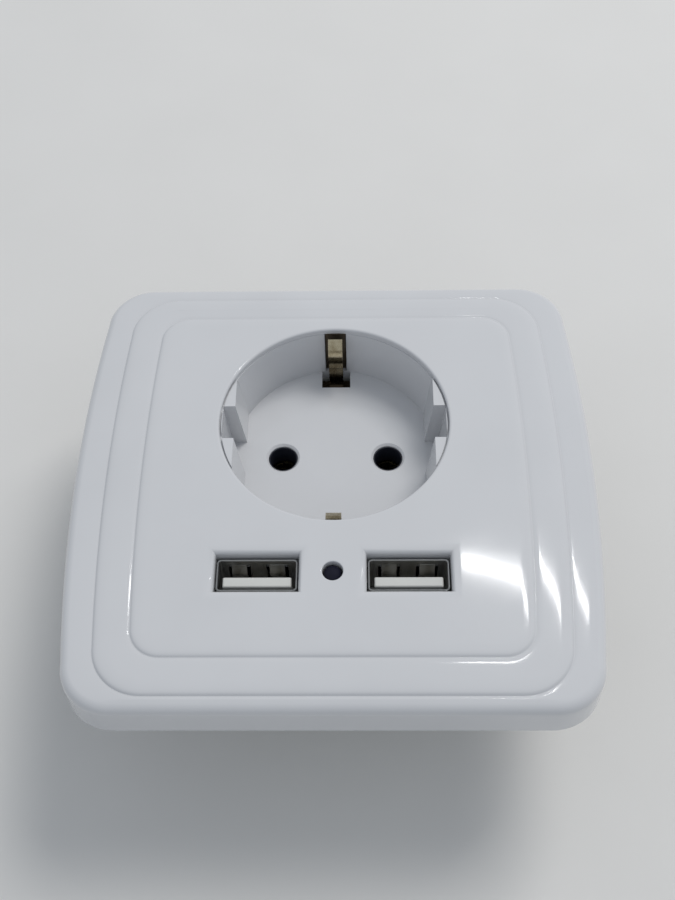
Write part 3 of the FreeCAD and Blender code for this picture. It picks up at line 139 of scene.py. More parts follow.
class Graph:
    """A material under construction, with short calls for the nodes that the finishes share."""

    def __init__(self, name: str, colour: Colour, roughness: float, metallic: float) -> None:
        """Start from one shader.

        Args:
            name: The material's name.
            colour: Base colour, linear.
            roughness: Roughness where nothing varies it.
            metallic: 0 for an insulator, 1 for a metal.
        """
        self.material = bpy.data.materials.new(name)
        self.material.use_nodes = True
        self.tree = self.material.node_tree
        self.shader = self.tree.nodes["Principled BSDF"]
        self.set("Base Color", (*colour, 1.0))
        self.set("Roughness", roughness)
        self.set("Metallic", metallic)
        self.place = self.tree.nodes.new("ShaderNodeTexCoord").outputs["Object"]

    def set(self, socket: str, value: float | tuple) -> None:
        """Set a constant on the shader's own socket."""
        self.shader.inputs[socket].default_value = value

    def feed(self, socket: str, source: Socket) -> None:
        """Drive a shader socket from a node."""
        self.tree.links.new(source, self.shader.inputs[socket])

    def height(self) -> Socket:
        """How high the shaded point lies.

        Returns:
            The height in metres.
        """
        split = self.tree.nodes.new("ShaderNodeSeparateXYZ")
        self.tree.links.new(self.place, split.inputs["Vector"])
        return split.outputs["Z"]

    def noise(self, grain: float, detail: float, stretch: Place = (1.0, 1.0, 1.0)) -> Socket:
        """Cloudy variation.

        Args:
            grain: Size of one cloud in millimetres.
            detail: Octaves of finer clouds.
            stretch: Factor for X, Y and Z; below 1 draws the grain out.

        Returns:
            A factor between 0 and 1.
        """
        mapping = self.tree.nodes.new("ShaderNodeMapping")
        mapping.inputs["Scale"].default_value = stretch
        self.tree.links.new(self.place, mapping.inputs["Vector"])
        made = self.tree.nodes.new("ShaderNodeTexNoise")
        made.inputs["Scale"].default_value = 1.0 / (grain * MM)
        made.inputs["Detail"].default_value = detail
        self.tree.links.new(mapping.outputs["Vector"], made.inputs["Vector"])
        return made.outputs["Fac"]

    def cells(self, grain: float) -> Socket:
        """Crystal-like cells.

        Args:
            grain: Size of one cell in millimetres.

        Returns:
            A factor that differs from cell to cell.
        """
        made = self.tree.nodes.new("ShaderNodeTexVoronoi")
        made.inputs["Scale"].default_value = 1.0 / (grain * MM)
        self.tree.links.new(self.place, made.inputs["Vector"])
        return made.outputs["Color"]

    def bands(self, pitch: float, axis: str) -> Socket:
        """Even ripples along one axis.

        Args:
            pitch: Distance from ripple to ripple in millimetres.
            axis: "X", "Y" or "Z".

        Returns:
            A factor between 0 and 1.
        """
        made = self.tree.nodes.new("ShaderNodeTexWave")
        made.bands_direction = axis
        # The node repeats every tenth of pi in its own units.
        made.inputs["Scale"].default_value = math.pi / 10 / (pitch * MM)
        self.tree.links.new(self.place, made.inputs["Vector"])
        return made.outputs["Fac"]

    def between(self, factor: Socket, low: float, high: float, start: float = 0.3,
                end: float = 0.7) -> Socket:
        """Spread a factor over a range of values.

        Args:
            factor: What varies.
            low: Value at start.
            high: Value at end.
            start: Factor that gives the low value.
            end: Factor that gives the high value.

        Returns:
            The value.
        """
        made = self.tree.nodes.new("ShaderNodeMapRange")
        for name, value in (("From Min", start), ("From Max", end), ("To Min", low), ("To Max", high)):
            made.inputs[name].default_value = value
        self.tree.links.new(factor, made.inputs["Value"])
        return made.outputs["Result"]

    def blend(self, factor: Socket, first: Colour | Socket, second: Colour) -> Socket:
        """Mix two colours by a factor.

        Args:
            factor: 0 gives the first colour, 1 the second.
            first: A linear colour, or the output that gives one.
            second: A linear colour.

        Returns:
            The mixed colour.
        """
        made = self.tree.nodes.new("ShaderNodeMix")
        made.data_type = "RGBA"
        # The node has sockets of the same name for other kinds of data, so these are taken by number.
        amount, start, end, mixed = made.inputs[0], made.inputs[6], made.inputs[7], made.outputs[2]
        self.tree.links.new(factor, amount)
        if isinstance(first, Socket):
            self.tree.links.new(first, start)
        else:
            start.default_value = (*first, 1.0)
        end.default_value = (*second, 1.0)
        return mixed

    def paint(self, factor: Socket, first: Colour | Socket, second: Colour) -> None:
        """Give the shader a mix of two colours as its base colour."""
        self.feed("Base Color", self.blend(factor, first, second))

    def relief(self, height: Socket, depth: float) -> None:
        """Raise and sink the surface in shading.

        Args:
            height: A factor, 1 at the top of the relief.
            depth: Height from bottom to top in millimetres.
        """
        made = self.tree.nodes.new("ShaderNodeBump")
        made.inputs["Strength"].default_value = 1.0
        made.inputs["Distance"].default_value = depth * MM
        self.tree.links.new(height, made.inputs["Height"])
        self.feed("Normal", made.outputs["Normal"])


def shade(colour: Colour, factor: float) -> Colour:
    """The same colour, lighter or darker."""
    return tuple(min(1.0, channel * factor) for channel in colour)


@dataclass(frozen=True)
class Finish:
    """A surface: the record's slot for it, its colour and gloss, and how they vary over a piece."""

    slot: str
    colour: Colour
    roughness: float
    metallic: float = 0.0

    def tone(self, graph: Graph) -> None:
        """Vary the colour."""

    def gloss(self, graph: Graph) -> None:
        """Vary the roughness."""

    def skin(self, graph: Graph) -> None:
        """Add relief and clear coats."""

    def material(self) -> bpy.types.Material:
        """The finish's material, made once.

        Returns:
            The material named after the slot and the kind of finish.
        """
        name = "%s_%s" % (self.slot, type(self).__name__.lower())
        known = bpy.data.materials.get(name)
        if known:
            return known
        graph = Graph(name, self.colour, self.roughness, self.metallic)
        for part in (self.tone, self.gloss, self.skin):
            part(graph)
        return graph.material


@dataclass(frozen=True)
class Moulding(Finish):
    """Moulded plastic: faint flow clouds, a skin that is not quite even, and dust-fine grain."""

    clouds: float = 14.0
    gloss_clouds: float = 3.5
    grain: float = 0.6
    depth: float = 0.004
    unevenness: float = 0.25
    tint: float = 0.93

    def tone(self, graph: Graph) -> None:
        """Cloud the colour as the plastic flowed."""
        flow = graph.between(graph.noise(self.clouds, detail=4.0), 0.0, 1.0, start=0.35, end=0.75)
        graph.paint(flow, self.colour, shade(self.colour, self.tint))

    def gloss(self, graph: Graph) -> None:
        """Make the gloss a little uneven."""
        low, high = (self.roughness * (1 + way * self.unevenness) for way in (-1, 1))
        graph.feed("Roughness", graph.between(graph.noise(self.gloss_clouds, detail=6.0), low, high))

    def skin(self, graph: Graph) -> None:
        """Add the fine grain."""
        graph.relief(graph.noise(self.grain, detail=2.0), self.depth)


@dataclass(frozen=True)
class GlossMoulding(Moulding):
    """Polished moulding with the long soft waviness that bends reflections."""

    wave: float = 9.0
    wave_depth: float = 0.006
    shine: float = 0.62
    coat: float = 0.35
    coat_roughness: float = 0.03

    def skin(self, graph: Graph) -> None:
        """Polish the skin and let it wave.

        Args:
            graph: The material under construction.
        """
        graph.set("Specular IOR Level", self.shine)
        graph.set("Coat Weight", self.coat)
        graph.set("Coat Roughness", self.coat_roughness)
        graph.relief(graph.noise(self.wave, detail=1.0), self.wave_depth)


@dataclass(frozen=True)
class SheetMetal(Finish):
    """Rolled or stamped metal: drawn-out brush marks, dull patches and a darker tarnish."""

    tarnish: Colour = (0.3, 0.28, 0.25)
    tarnish_share: float = 0.35
    patch: float = 2.4
    brushing: Place = (1.0, 1.0, 0.06)
    grain: float = 0.12
    depth: float = 0.006
    dulling: Pair = (0.75, 1.35)

    def marks(self, graph: Graph) -> Socket:
        """The brush marks as a factor."""
        return graph.noise(self.grain, detail=2.0, stretch=self.brushing)

    def tone(self, graph: Graph) -> None:
        """Tarnish the metal in patches."""
        patches = graph.noise(self.patch, detail=5.0)
        graph.paint(graph.between(patches, 0.0, self.tarnish_share, start=0.45, end=0.8),
                    self.colour, self.tarnish)

    def gloss(self, graph: Graph) -> None:
        """Brush the gloss."""
        low, high = (self.roughness * factor for factor in self.dulling)
        graph.feed("Roughness", graph.between(self.marks(graph), low, high))

    def skin(self, graph: Graph) -> None:
        """Press the brush marks in."""
        graph.relief(self.marks(graph), self.depth)


@dataclass(frozen=True)
class DulledStrip(SheetMetal):
    """Spring brass, worn and tarnished in patches, that darkens towards the bottom as painted shade: lit at
    the top of the clips, shaded below the well floor.
    """

    wear: float = 1.6
    # Heights in millimetres where the painted shade starts and where it is full, and the dark colour it
    # paints.
    bright_above: float = 4.5
    dull_below: float = -4.2
    dull: Colour = (0.045, 0.034, 0.022)

    def tone(self, graph: Graph) -> None:
        """Wear the strip in patches, and darken it towards the bottom with painted shade.

        Args:
            graph: The material under construction.
        """
        worn = graph.between(graph.noise(self.wear, detail=4.0), 0.0, 1.0, start=0.35)
        # Painted shade: a factor that grows from the clips' tips down to the well floor, where the strip
        # takes the dark shade colour.
        depth = graph.between(graph.height(), 1.0, 0.0, self.dull_below * MM, self.bright_above * MM)
        graph.paint(depth, graph.blend(worn, self.colour, self.tarnish), self.dull)


@dataclass(frozen=True)
class BrownedStrip(SheetMetal):
    """Brass sheet coloured dark all over as painted shade."""


@dataclass(frozen=True)
class ZincCoat(SheetMetal):
    """Zinc plating whose crystals show as faint cells."""

    crystal: float = 3.0
    facets: Pair = (0.82, 1.1)

    def tone(self, graph: Graph) -> None:
        """Colour each crystal a little differently."""
        crystals = graph.between(graph.cells(self.crystal), 0.0, 1.0, start=0.1, end=0.9)
        graph.paint(crystals, *(shade(self.colour, factor) for factor in self.facets))


@dataclass(frozen=True)
class Laminate(Finish):
    """Lacquered circuit board: glass weave under a glossy green film."""

    weave: float = 0.5
    weave_light: float = 1.35
    weave_depth: float = 0.01
    film: float = 0.6

    def tone(self, graph: Graph) -> None:
        """Show the weave one way in the colour."""
        graph.paint(graph.bands(self.weave, "X"), self.colour, shade(self.colour, self.weave_light))

    def skin(self, graph: Graph) -> None:
        """Show the weave the other way in relief, under the film."""
        graph.set("Coat Weight", self.film)
        graph.relief(graph.bands(self.weave, "Y"), self.weave_depth)


@dataclass(frozen=True)
class Tape(Finish):
    """Winding tape whose turns lie over each other in even steps."""

    pitch: float = 1.1
    lap_shade: float = 0.8
    lap_depth: float = 0.03

    def tone(self, graph: Graph) -> None:
        """Shade the overlaps."""
        graph.paint(graph.bands(self.pitch, "Z"), shade(self.colour, self.lap_shade), self.colour)

    def skin(self, graph: Graph) -> None:
        """Raise the overlaps."""
        graph.relief(graph.bands(self.pitch, "Z"), self.lap_depth)


@dataclass(frozen=True)
class Resin(Finish):
    """Tinted casting resin, hazy inside and smooth outside."""

    haze: float = 0.8
    haze_light: float = 2.2
    haze_dulling: float = 1.5
    shine: float = 0.25
    coat: float = 0.05

    def tone(self, graph: Graph) -> None:
        """Cloud the tint."""
        haze = graph.noise(self.haze, detail=2.0)
        graph.paint(haze, self.colour, shade(self.colour, self.haze_light))

    def gloss(self, graph: Graph) -> None:
        """Dull the skin where the haze reaches it."""
        haze = graph.noise(self.haze, detail=2.0)
        graph.feed("Roughness", graph.between(haze, self.roughness, self.roughness * self.haze_dulling))

    def skin(self, graph: Graph) -> None:
        """Keep the dark resin from mirroring much."""
        graph.set("Specular IOR Level", self.shine)
        graph.set("Coat Weight", self.coat)


METAL = 1.0

FINISHES: dict[str, Finish] = {
    finish.slot: finish
    for finish in (
        GlossMoulding("cover_plastic", (0.64, 0.645, 0.66), 0.08, tint=0.97, unevenness=0.18),
        ZincCoat("zinc_steel", (0.56, 0.58, 0.60), 0.34, METAL),
        Moulding("base_plastic", (0.62, 0.62, 0.59), 0.48, depth=0.012),
        Moulding("carrier_plastic", (0.018, 0.020, 0.030), 0.45, tint=1.6),
        SheetMetal("brass_strip", (0.50, 0.42, 0.24), 0.30, METAL, tarnish=(0.17, 0.13, 0.07),
                   tarnish_share=0.75),
        SheetMetal("terminal_brass", (0.60, 0.44, 0.18), 0.33, METAL, tarnish=(0.25, 0.16, 0.06)),
        SheetMetal("screw_steel", (0.58, 0.59, 0.61), 0.28, METAL),
        ZincCoat("claw_steel", (0.55, 0.53, 0.44), 0.36, METAL, crystal=2.0),
        Laminate("board_laminate", (0.012, 0.085, 0.028), 0.3),
        SheetMetal("shell_steel", (0.40, 0.40, 0.39), 0.42, METAL, tarnish=(0.28, 0.27, 0.24)),
        Moulding("tongue_plastic", (0.66, 0.66, 0.63), 0.36),
        SheetMetal("gilt_contact", (0.62, 0.50, 0.26), 0.25, METAL, tarnish=(0.35, 0.26, 0.12)),
        Resin("lamp_resin", (0.004, 0.004, 0.010), 0.35),
        Moulding("ferrite", (0.016, 0.016, 0.018), 0.42, tint=2.2, clouds=0.8, gloss_clouds=0.2),
        Tape("winding_tape", (0.62, 0.38, 0.03), 0.3),
        Moulding("capacitor_sleeve", (0.016, 0.022, 0.085), 0.2, tint=1.3),
    )
}
# The earth strip shows in the well, so its own two finishes stand in for the slot's; both carry painted
# shade.
EARTH_BRASS = DulledStrip("brass_strip", (0.62, 0.54, 0.37), 0.27, METAL, tarnish=(0.38, 0.31, 0.19))
# Painted shade: the backing's dark colour stands for the shade in the wall slots behind the clips.
BACKING_PAINTED_SHADE = BrownedStrip("brass_strip", (0.13, 0.105, 0.075), 0.5, METAL, tarnish=(0.05, 0.04, 0.03))


# Meshes


def new_object(name: str, bm: BMesh, outward: bool = True) -> Piece:
    """Turn a finished bmesh into an object at the origin.

    Args:
        name: The object's name.
        bm: The mesh, which is freed.
        outward: Whether the faces are turned outwards first.

    Returns:
        The object.
    """
    if outward:
        bmesh.ops.recalc_face_normals(bm, faces=bm.faces)
    mesh = bpy.data.meshes.new(name)
    bm.to_mesh(mesh)
    bm.free()
    made = bpy.data.objects.new(name, mesh)
    bpy.context.scene.collection.objects.link(made)
    return made


@contextmanager
def reopened(piece: Piece) -> Iterator[BMesh]:
    """Open a piece's mesh for more work, and write it back afterwards.

    Args:
        piece: The piece.

    Yields:
        Its mesh.
    """
    bm = bmesh.new()
    bm.from_mesh(piece.data)
    yield bm
    bm.to_mesh(piece.data)
    bm.free()


def fresh_verts(made: dict) -> list[BMVert]:
    """The vertices that an extrusion made."""
    return [item for item in made["geom"] if isinstance(item, BMVert)]


def chain(bm: BMesh, places: Iterable[Place]) -> tuple[list[BMVert], list[bmesh.types.BMEdge]]:
    """Add a run of edges.

    Args:
        bm: The mesh to add to.
        places: The run's points in millimetres.

    Returns:
        The run's vertices and its edges.
    """
    verts = [bm.verts.new((x * MM, y * MM, z * MM)) for x, y, z in places]
    return verts, [bm.edges.new(pair) for pair in zip(verts, verts[1:])]


def block(bm: BMesh, low: Sequence[float], high: Sequence[float]) -> list[BMVert]:
    """Add a rectangular block.

    Args:
        bm: The mesh to add to.
        low: Lowest corner in millimetres.
        high: Highest corner in millimetres.

    Returns:
        The block's vertices.
    """
    start, end = Vector(low) * MM, Vector(high) * MM
    size = end - start
    matrix = Matrix.Translation((start + end) / 2) @ Matrix.Diagonal((*size, 1.0))
    return bmesh.ops.create_cube(bm, size=1.0, matrix=matrix)["verts"]


def lathe(bm: BMesh, profile: Sequence[Pair], x: float, y: float, steps: int) -> None:
    """Turn a profile once round an upright axis.

    Args:
        bm: The mesh to add to.
        profile: Pairs of radius and height, in millimetres.
        x: Axis position.
        y: Axis position.
        steps: Faces round the axis.
    """
    verts, edges = chain(bm, [(x + radius, y, height) for radius, height in profile])
    bmesh.ops.spin(bm, geom=verts + edges, cent=(x * MM, y * MM, 0.0), axis=(0.0, 0.0, 1.0),
                   dvec=(0.0, 0.0, 0.0), angle=math.tau, steps=steps, use_merge=True, use_duplicate=False)
    bmesh.ops.remove_doubles(bm, verts=bm.verts, dist=MERGE)


def round_off(bm: BMesh, geom: list, radius: float, steps: int, affect: str = "EDGES") -> None:
    """Round edges or corners.

    Args:
        bm: The mesh.
        geom: What is rounded.
        radius: How far from the edge or corner the round starts, in millimetres.
        steps: Faces or edges in the round.
        affect: "EDGES" or "VERTICES".
    """
    bmesh.ops.bevel(bm, geom=geom, offset=radius * MM, offset_type="OFFSET", segments=steps, profile=0.5,
                    affect=affect, material=-1)


def round_over(radius: float, corner: Pair, steps: int) -> list[Pair]:
    """Points of a quarter round that flares outwards towards the top.

    Args:
        radius: Radius of the round.
        corner: Where the unrounded edge would be, as distance and height.
        steps: Runs in the quarter.

    Returns:
        Distance and height pairs, from the wall up to the face.
    """
    reach, top = corner
    angles = [math.pi / 2 * step / steps for step in range(steps + 1)]
    return [(reach + radius * (1 - math.cos(a)), top - radius * (1 - math.sin(a))) for a in angles]


def bake(piece: Piece) -> None:
    """Apply a piece's modifiers to its mesh."""
    graph = bpy.context.evaluated_depsgraph_get()
    mesh = bpy.data.meshes.new_from_object(piece.evaluated_get(graph))
    piece.modifiers.clear()
    old, piece.data = piece.data, mesh
    bpy.data.meshes.remove(old)


def thicken(piece: Piece, sheet: float, offset: float) -> None:
    """Give a surface the thickness of its sheet.

    Args:
        piece: The surface.
        sheet: The thickness in millimetres.
        offset: -1 puts the thickness behind the surface, 0 half on each side.
    """
    wall = piece.modifiers.new("sheet", "SOLIDIFY")
    wall.thickness = sheet * MM
    wall.offset = offset
    bake(piece)


def carve(piece: Piece, tools: Sequence[Piece], how: Carve) -> None:
    """Add solids to a piece or take them away, and clear the solids up.

    Args:
        piece: The closed piece that is worked on.
        tools: Closed solids.
        how: Whether they are added or taken away.
    """
    for tool in tools:
        modifier = piece.modifiers.new(tool.name, "BOOLEAN")
        modifier.operation = how.value
        modifier.solver = "EXACT"
        modifier.object = tool
    bake(piece)
    for tool in tools:
        bpy.data.objects.remove(tool)


def soften(piece: Piece, width: float) -> None:
    """Shade a piece smoothly, round its edges finely and keep its flats flat.

    Args:
        piece: The piece.
        width: Width of the edge round in millimetres, or 0 for none.
    """
    piece.data.shade_smooth()
    piece.data.set_sharp_from_angle(angle=SHARP)
    if width:
        rounding = piece.modifiers.new("edge_round", "BEVEL")
        rounding.width = width * MM
        rounding.segments = EDGE_STEPS
        rounding.limit_method = "ANGLE"
        rounding.angle_limit = SHARP
    flats = piece.modifiers.new("flat_faces", "WEIGHTED_NORMAL")
    flats.keep_sharp = True
    flats.weight = FLAT_WEIGHT


def fit(piece: Piece, slot: str, edge: float = 0.0, body: str = "body", stands_for: Sequence[str] = (),
        finish: Finish | None = None) -> None:
    """Give a piece its edges, its finish, its body and the nodes it stands for.

    Args:
        piece: The finished piece.
        slot: The record's material slot.
        edge: Width of the edge round in millimetres, or 0 for none.
        body: The body that it moves with.
        stands_for: Nodes that it replaces.
        finish: A finish of its own, where the slot's finish doesn't suit.
    """
    soften(piece, edge)
    piece.data.materials.clear()
    piece.data.materials.append((finish or FINISHES[slot]).material())
    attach(piece, body)
    if stands_for:
        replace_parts(piece, *stands_for)
    log.info("%s rides on %s", piece.name, body)


# The front


@dataclass(frozen=True)
class Outline:
    """A rounded square whose left and right sides bow outwards, moved up the wall by its offset."""

    corner_steps: ClassVar[int] = 14
    side_steps: ClassVar[int] = 27

    half_width: float
    bulge: float
    half_height: float
    corner: float
    offset: float = 0.0

    def grown(self, amount: float) -> "Outline":
        """The outline moved outwards by an amount, or inwards if it is negative."""
        return replace(self, half_width=self.half_width + amount, half_height=self.half_height + amount,
                       corner=self.corner + amount)

    def towards(self, other: "Outline", share: float) -> "Outline":
        """The outline part of the way to another one.

        Args:
            other: The outline at the far end.
            share: How far, from 0 to 1.

        Returns:
            The outline between them.
        """
        return Outline(*(start + (end - start) * share for start, end in zip(astuple(self), astuple(other))))

    def points(self, height: float) -> list[Vector]:
        """Places round the outline, always in the same order.

        Args:
            height: Their height in millimetres.

        Returns:
            The places in metres.
        """
        reach, rise = self.half_width * MM, self.half_height * MM
        bm = bmesh.new()
        corners = [bm.verts.new((x * reach, y * rise, height * MM))
                   for x, y in ((-1, -1), (1, -1), (1, 1), (-1, 1))]
        bm.faces.new(corners)
        round_off(bm, corners, self.corner, self.corner_steps, "VERTICES")
        runs = [edge for edge in bm.edges if edge.calc_length() > self.corner * MM]
        bmesh.ops.subdivide_edges(bm, edges=runs, cuts=self.side_steps)
        bm.faces.ensure_lookup_table()
        places = [vert.co.copy() for vert in bm.faces[0].verts]
        bm.free()
        straight = rise - self.corner * MM
        for place in places:
            bow = self.bulge * MM * max(0.0, 1 - (place.y / straight) ** 2)
            place.x += math.copysign(bow, place.x) if abs(place.x) > MERGE else 0.0
            place.y += self.offset * MM
        return places


def lift(bm: BMesh, ring: list[BMVert], places: Sequence[Vector]) -> list[BMVert]:
    """Extrude a closed ring of vertices on to new places.

    Args:
        bm: The mesh.
        ring: The ring's vertices in order.
        places: Where each of them goes.

    Returns:
        The new ring's vertices in the same order.
    """
    edges = [bm.edges.get(pair) for pair in zip(ring, ring[1:] + ring[:1])]
    fresh = set(fresh_verts(bmesh.ops.extrude_edge_only(bm, edges=edges)))
    lifted = [next(edge.other_vert(vert) for edge in vert.link_edges if edge.other_vert(vert) in fresh)
              for vert in ring]
    for vert, place in zip(lifted, places):
        vert.co = place
    return lifted


@dataclass
class FrontCover:
    """The glossy plate with its two pressed lines, the round well, the port windows and the lamp hole."""

    face: float = 8.5
    wall: float = 2.2
    hollow_low: float = 4.9
    hollow_high: float = 6.3
    edge: float = 0.12
    flat_border: float = 0.12
    round_steps: int = 160
    hole_steps: int = 48

    plate: Outline = Outline(42.4, 2.0, 42.1, 8.5)
    band: Outline = Outline(37.3, 1.3, 39.0, 8.3, -0.45)
    panel: Outline = Outline(31.6, 1.0, 33.5, 5.0, 0.1)
    # Distance outwards from the plate's outline, and height, where the plate meets the wall.
    foot: tuple[Pair, ...] = ((-0.25, 0.0), (-0.07, 0.08), (0.0, 0.25))
    side_lean: float = 0.25
    edge_start: float = 5.6
    edge_radius: float = 1.9
    edge_steps: int = 9
    crown_lean: float = math.radians(7.6)
    # Share of the way from the plate's rounded edge to the outer line, and height.
    edge_rise: tuple[Pair, ...] = ((0.3, 7.53), (0.6, 7.56), (0.85, 7.552))
    # Distance outwards from a line, and height. Each band is a shallow pillow that ends in a soft groove.
    band_line: tuple[Pair, ...] = (
        (0.25, 7.54), (0.12, 7.51), (0.0, 7.485), (-0.1, 7.52), (-0.18, 7.62), (-0.28, 7.74), (-0.42, 7.85),
        (-0.6, 7.93), (-0.85, 8.0), (-1.2, 8.06), (-1.7, 8.11), (-2.3, 8.14), (-2.9, 8.15))
    panel_line: tuple[Pair, ...] = (
        (2.2, 8.150), (1.3, 8.135), (0.8, 8.115), (0.45, 8.09), (0.25, 8.05), (0.1, 8.01), (0.0, 8.0),
        (-0.1, 8.04), (-0.18, 8.13), (-0.28, 8.23), (-0.45, 8.33), (-0.7, 8.40), (-1.0, 8.445), (-1.4, 8.475),
        (-1.9, 8.493), (-2.4, 8.5))

    cup_radius: float = 21.2
    cup_low: float = -5.5
    cup_chamfer: float = 0.5
    mouth_radius: float = 19.9
    rim_round: float = 0.45
    rim_steps: int = 6
    floor: float = -3.6
    shelf: float = 7.8
    # How far what lies below the shelf reaches up into the mouth.
    shelf_lap: float = 0.3
    flat: float = 17.4
    foot_shrink: Pair = (0.931, 0.982)
    slot_reach: float = 19.5
    slot_foot_reach: float = 18.6
    slot_half: float = 3.35
    # The seam's edges, from the mouth's wall and from the shelf.
    seam_reach: Pair = (-0.28, 0.06)
    seam_height: Pair = (-0.6, 0.12)

    pin_radius: float = 2.65
    # Distance outwards from a pin hole, and height above the well floor, round its lip.
    pin_lip: tuple[Pair, ...] = ((0.0, -0.4), (0.12, -0.28), (0.32, -0.06), (0.52, 0.09))
    pin_top: float = 0.4
    earth_inner: float = 15.7
    earth_half: float = 2.0
    earth_top: float = 7.3
    earth_wall_left: float = 0.65
    earth_wall_foot: float = 0.1
    earth_floor_half: float = 2.65
    earth_floor_left: float = 0.35
    earth_floor_top: float = 0.2

    window: Pair = (13.45, 6.55)
    # Distance outwards from the window, and height: the face dips slowly before it turns in.
    window_dip: tuple[Pair, ...] = (
        (0.0, 7.5), (0.12, 7.85), (0.28, 8.12), (0.5, 8.31), (0.75, 8.41), (1.05, 8.465), (1.4, 8.492),
        (1.9, 8.51), (1.9, 9.5))
    collar_wall: float = 1.3
    collar_low: float = 3.7
    lamp_radius: float = 1.675
    lamp_round: float = 0.2
    lamp_round_steps: int = 4
    lamp_steps: int = 64

    @property
    def inside(self) -> float:
        """A height within the face, where what is added behind it can end."""
        return self.face - self.wall / 2

    def build(self) -> None:
        """Make the cover."""
        cover = self.make_shell()
        carve(cover, [self.make_cup(), *self.make_collars()], Carve.ADD)
        carve(cover, self.make_openings(), Carve.TAKE)
        self.frame_flats(cover)
        fit(cover, "cover_plastic", self.edge, stands_for=["front_cover"])

    def frame_flats(self, cover: Piece) -> None:
        """Give the flat panel a narrow border, so that it stays flat up to its holes in shading.

        Args:
            cover: The carved cover.
        """
        just_under = (self.face - 0.01) * MM
        with reopened(cover) as bm:
            bmesh.ops.remove_doubles(bm, verts=bm.verts, dist=MERGE)
            panel = [face for face in bm.faces if min(vert.co.z for vert in face.verts) > just_under]
            bmesh.ops.inset_region(bm, faces=panel, thickness=self.flat_border * MM, use_even_offset=True,
                                   use_boundary=True)

    def stations(self) -> list[tuple[Outline, float]]:
        """Outlines and heights up the outside, from the wall to the panel.

        Returns:
            Pairs of outline and height.
        """
        found = [(self.plate.grown(out), height) for out, height in self.foot]
        for step in range(self.edge_steps + 1):
            angle = (math.pi / 2 - self.crown_lean) * step / self.edge_steps
            out = -self.side_lean - self.edge_radius * (1 - math.cos(angle))
            found.append((self.plate.grown(out), self.edge_start + self.edge_radius * math.sin(angle)))
        edge, line = found[-1][0], self.band.grown(self.band_line[0][0])
        found += [(edge.towards(line, share), height) for share, height in self.edge_rise]
        found += [(self.band.grown(out), height) for out, height in self.band_line]
        found += [(self.panel.grown(out), height) for out, height in self.panel_line]
        return found

    def make_shell(self) -> Piece:
        """The plate as a closed shell, without its well and windows.

        Returns:
            The shell.
        """
        inside = self.plate.grown(-self.wall)
        under = self.panel.grown(-self.wall)
        stations = [(under, self.hollow_high), (under, self.hollow_low), (inside, self.hollow_low),
                    (inside, 0.0), *self.stations()]
        bm = bmesh.new()
        outline, height = stations[0]
        ring = [bm.verts.new(place) for place in outline.points(height)]
        bm.faces.new(ring)
        for outline, height in stations[1:]:
            ring = lift(bm, ring, outline.points(height))
        bm.faces.new(ring)
        return new_object("front_plate", bm)

    def turned(self, name: str, profile: Sequence[Pair], steps: int, x: float = 0.0,
               y: float = WELL_Y) -> Piece:
        """A solid turned round an upright axis, the well's own unless another is given.

        Args:
            name: The solid's name.
            profile: Pairs of radius and height.
            steps: Faces round the axis.
            x: Axis position.
            y: Axis position.

        Returns:
            The solid.
        """
        bm = bmesh.new()
        lathe(bm, profile, x, y, steps)
        return new_object(name, bm)

    def make_cup(self) -> Piece:
        """The well's outer wall as a solid."""
        outer, low, chamfer = self.cup_radius, self.cup_low, self.cup_chamfer
        return self.turned("well_cup", [(0.0, low), (outer - chamfer, low), (outer, low + chamfer),
                                        (outer, self.inside), (0.0, self.inside)], self.round_steps)

    def make_collars(self) -> list[Piece]:
        """The skirts behind the port windows.

        Returns:
            One solid for each port.
        """
        made = []
        half = [size / 2 + self.collar_wall for size in self.window]
        for side in Side:
            x, y, _ = side.port
            bm = bmesh.new()
            block(bm, (x - half[0], y - half[1], self.collar_low), (x + half[0], y + half[1], self.inside))
            made.append(new_object(side.label + "_collar", bm))
        return made

    def make_openings(self) -> list[Piece]:
        """Every hole in the cover, as solids to take away."""
        return [self.make_mouth(), self.make_hollow(), self.make_guide_slot(), self.make_seam(),
                *self.make_earth_slots(), *self.make_pin_holes(), *self.make_windows(), self.make_lamp_hole()]

    def make_mouth(self) -> Piece:
        """The round mouth with its rolled rim.

        Returns:
            The solid to take away.
        """
        flare = round_over(self.rim_round, (self.mouth_radius, self.face), self.rim_steps)
        top = self.face + CLEAR
        return self.turned("well_mouth", [(0.0, self.shelf), (self.mouth_radius, self.shelf), *flare,
                                          (flare[-1][0], top), (0.0, top)], self.round_steps)

    def make_hollow(self) -> Piece:
        """The inside of the well between the side guides, narrowing a little to the floor.

        Returns:
            The solid to take away.
        """
        bm = bmesh.new()
        top = self.shelf + self.shelf_lap
        bmesh.ops.create_circle(bm, cap_ends=True, segments=self.round_steps, radius=self.mouth_radius * MM,
                                matrix=Matrix.Translation((0.0, 0.0, top * MM)))
        for side in Side:
            bmesh.ops.bisect_plane(bm, geom=bm.verts[:] + bm.edges[:] + bm.faces[:],
                                   plane_co=(self.flat * side.value * MM, 0.0, 0.0),
                                   plane_no=(float(side.value), 0.0, 0.0), clear_outer=True)
        foot = fresh_verts(bmesh.ops.extrude_face_region(bm, geom=bm.faces[:]))
        bmesh.ops.scale(bm, vec=(*self.foot_shrink, 1.0), verts=foot)
        bmesh.ops.translate(bm, vec=(0.0, WELL_Y * MM, 0.0), verts=bm.verts)
        self.set_on_floor(foot)
        return new_object("well_hollow", bm)

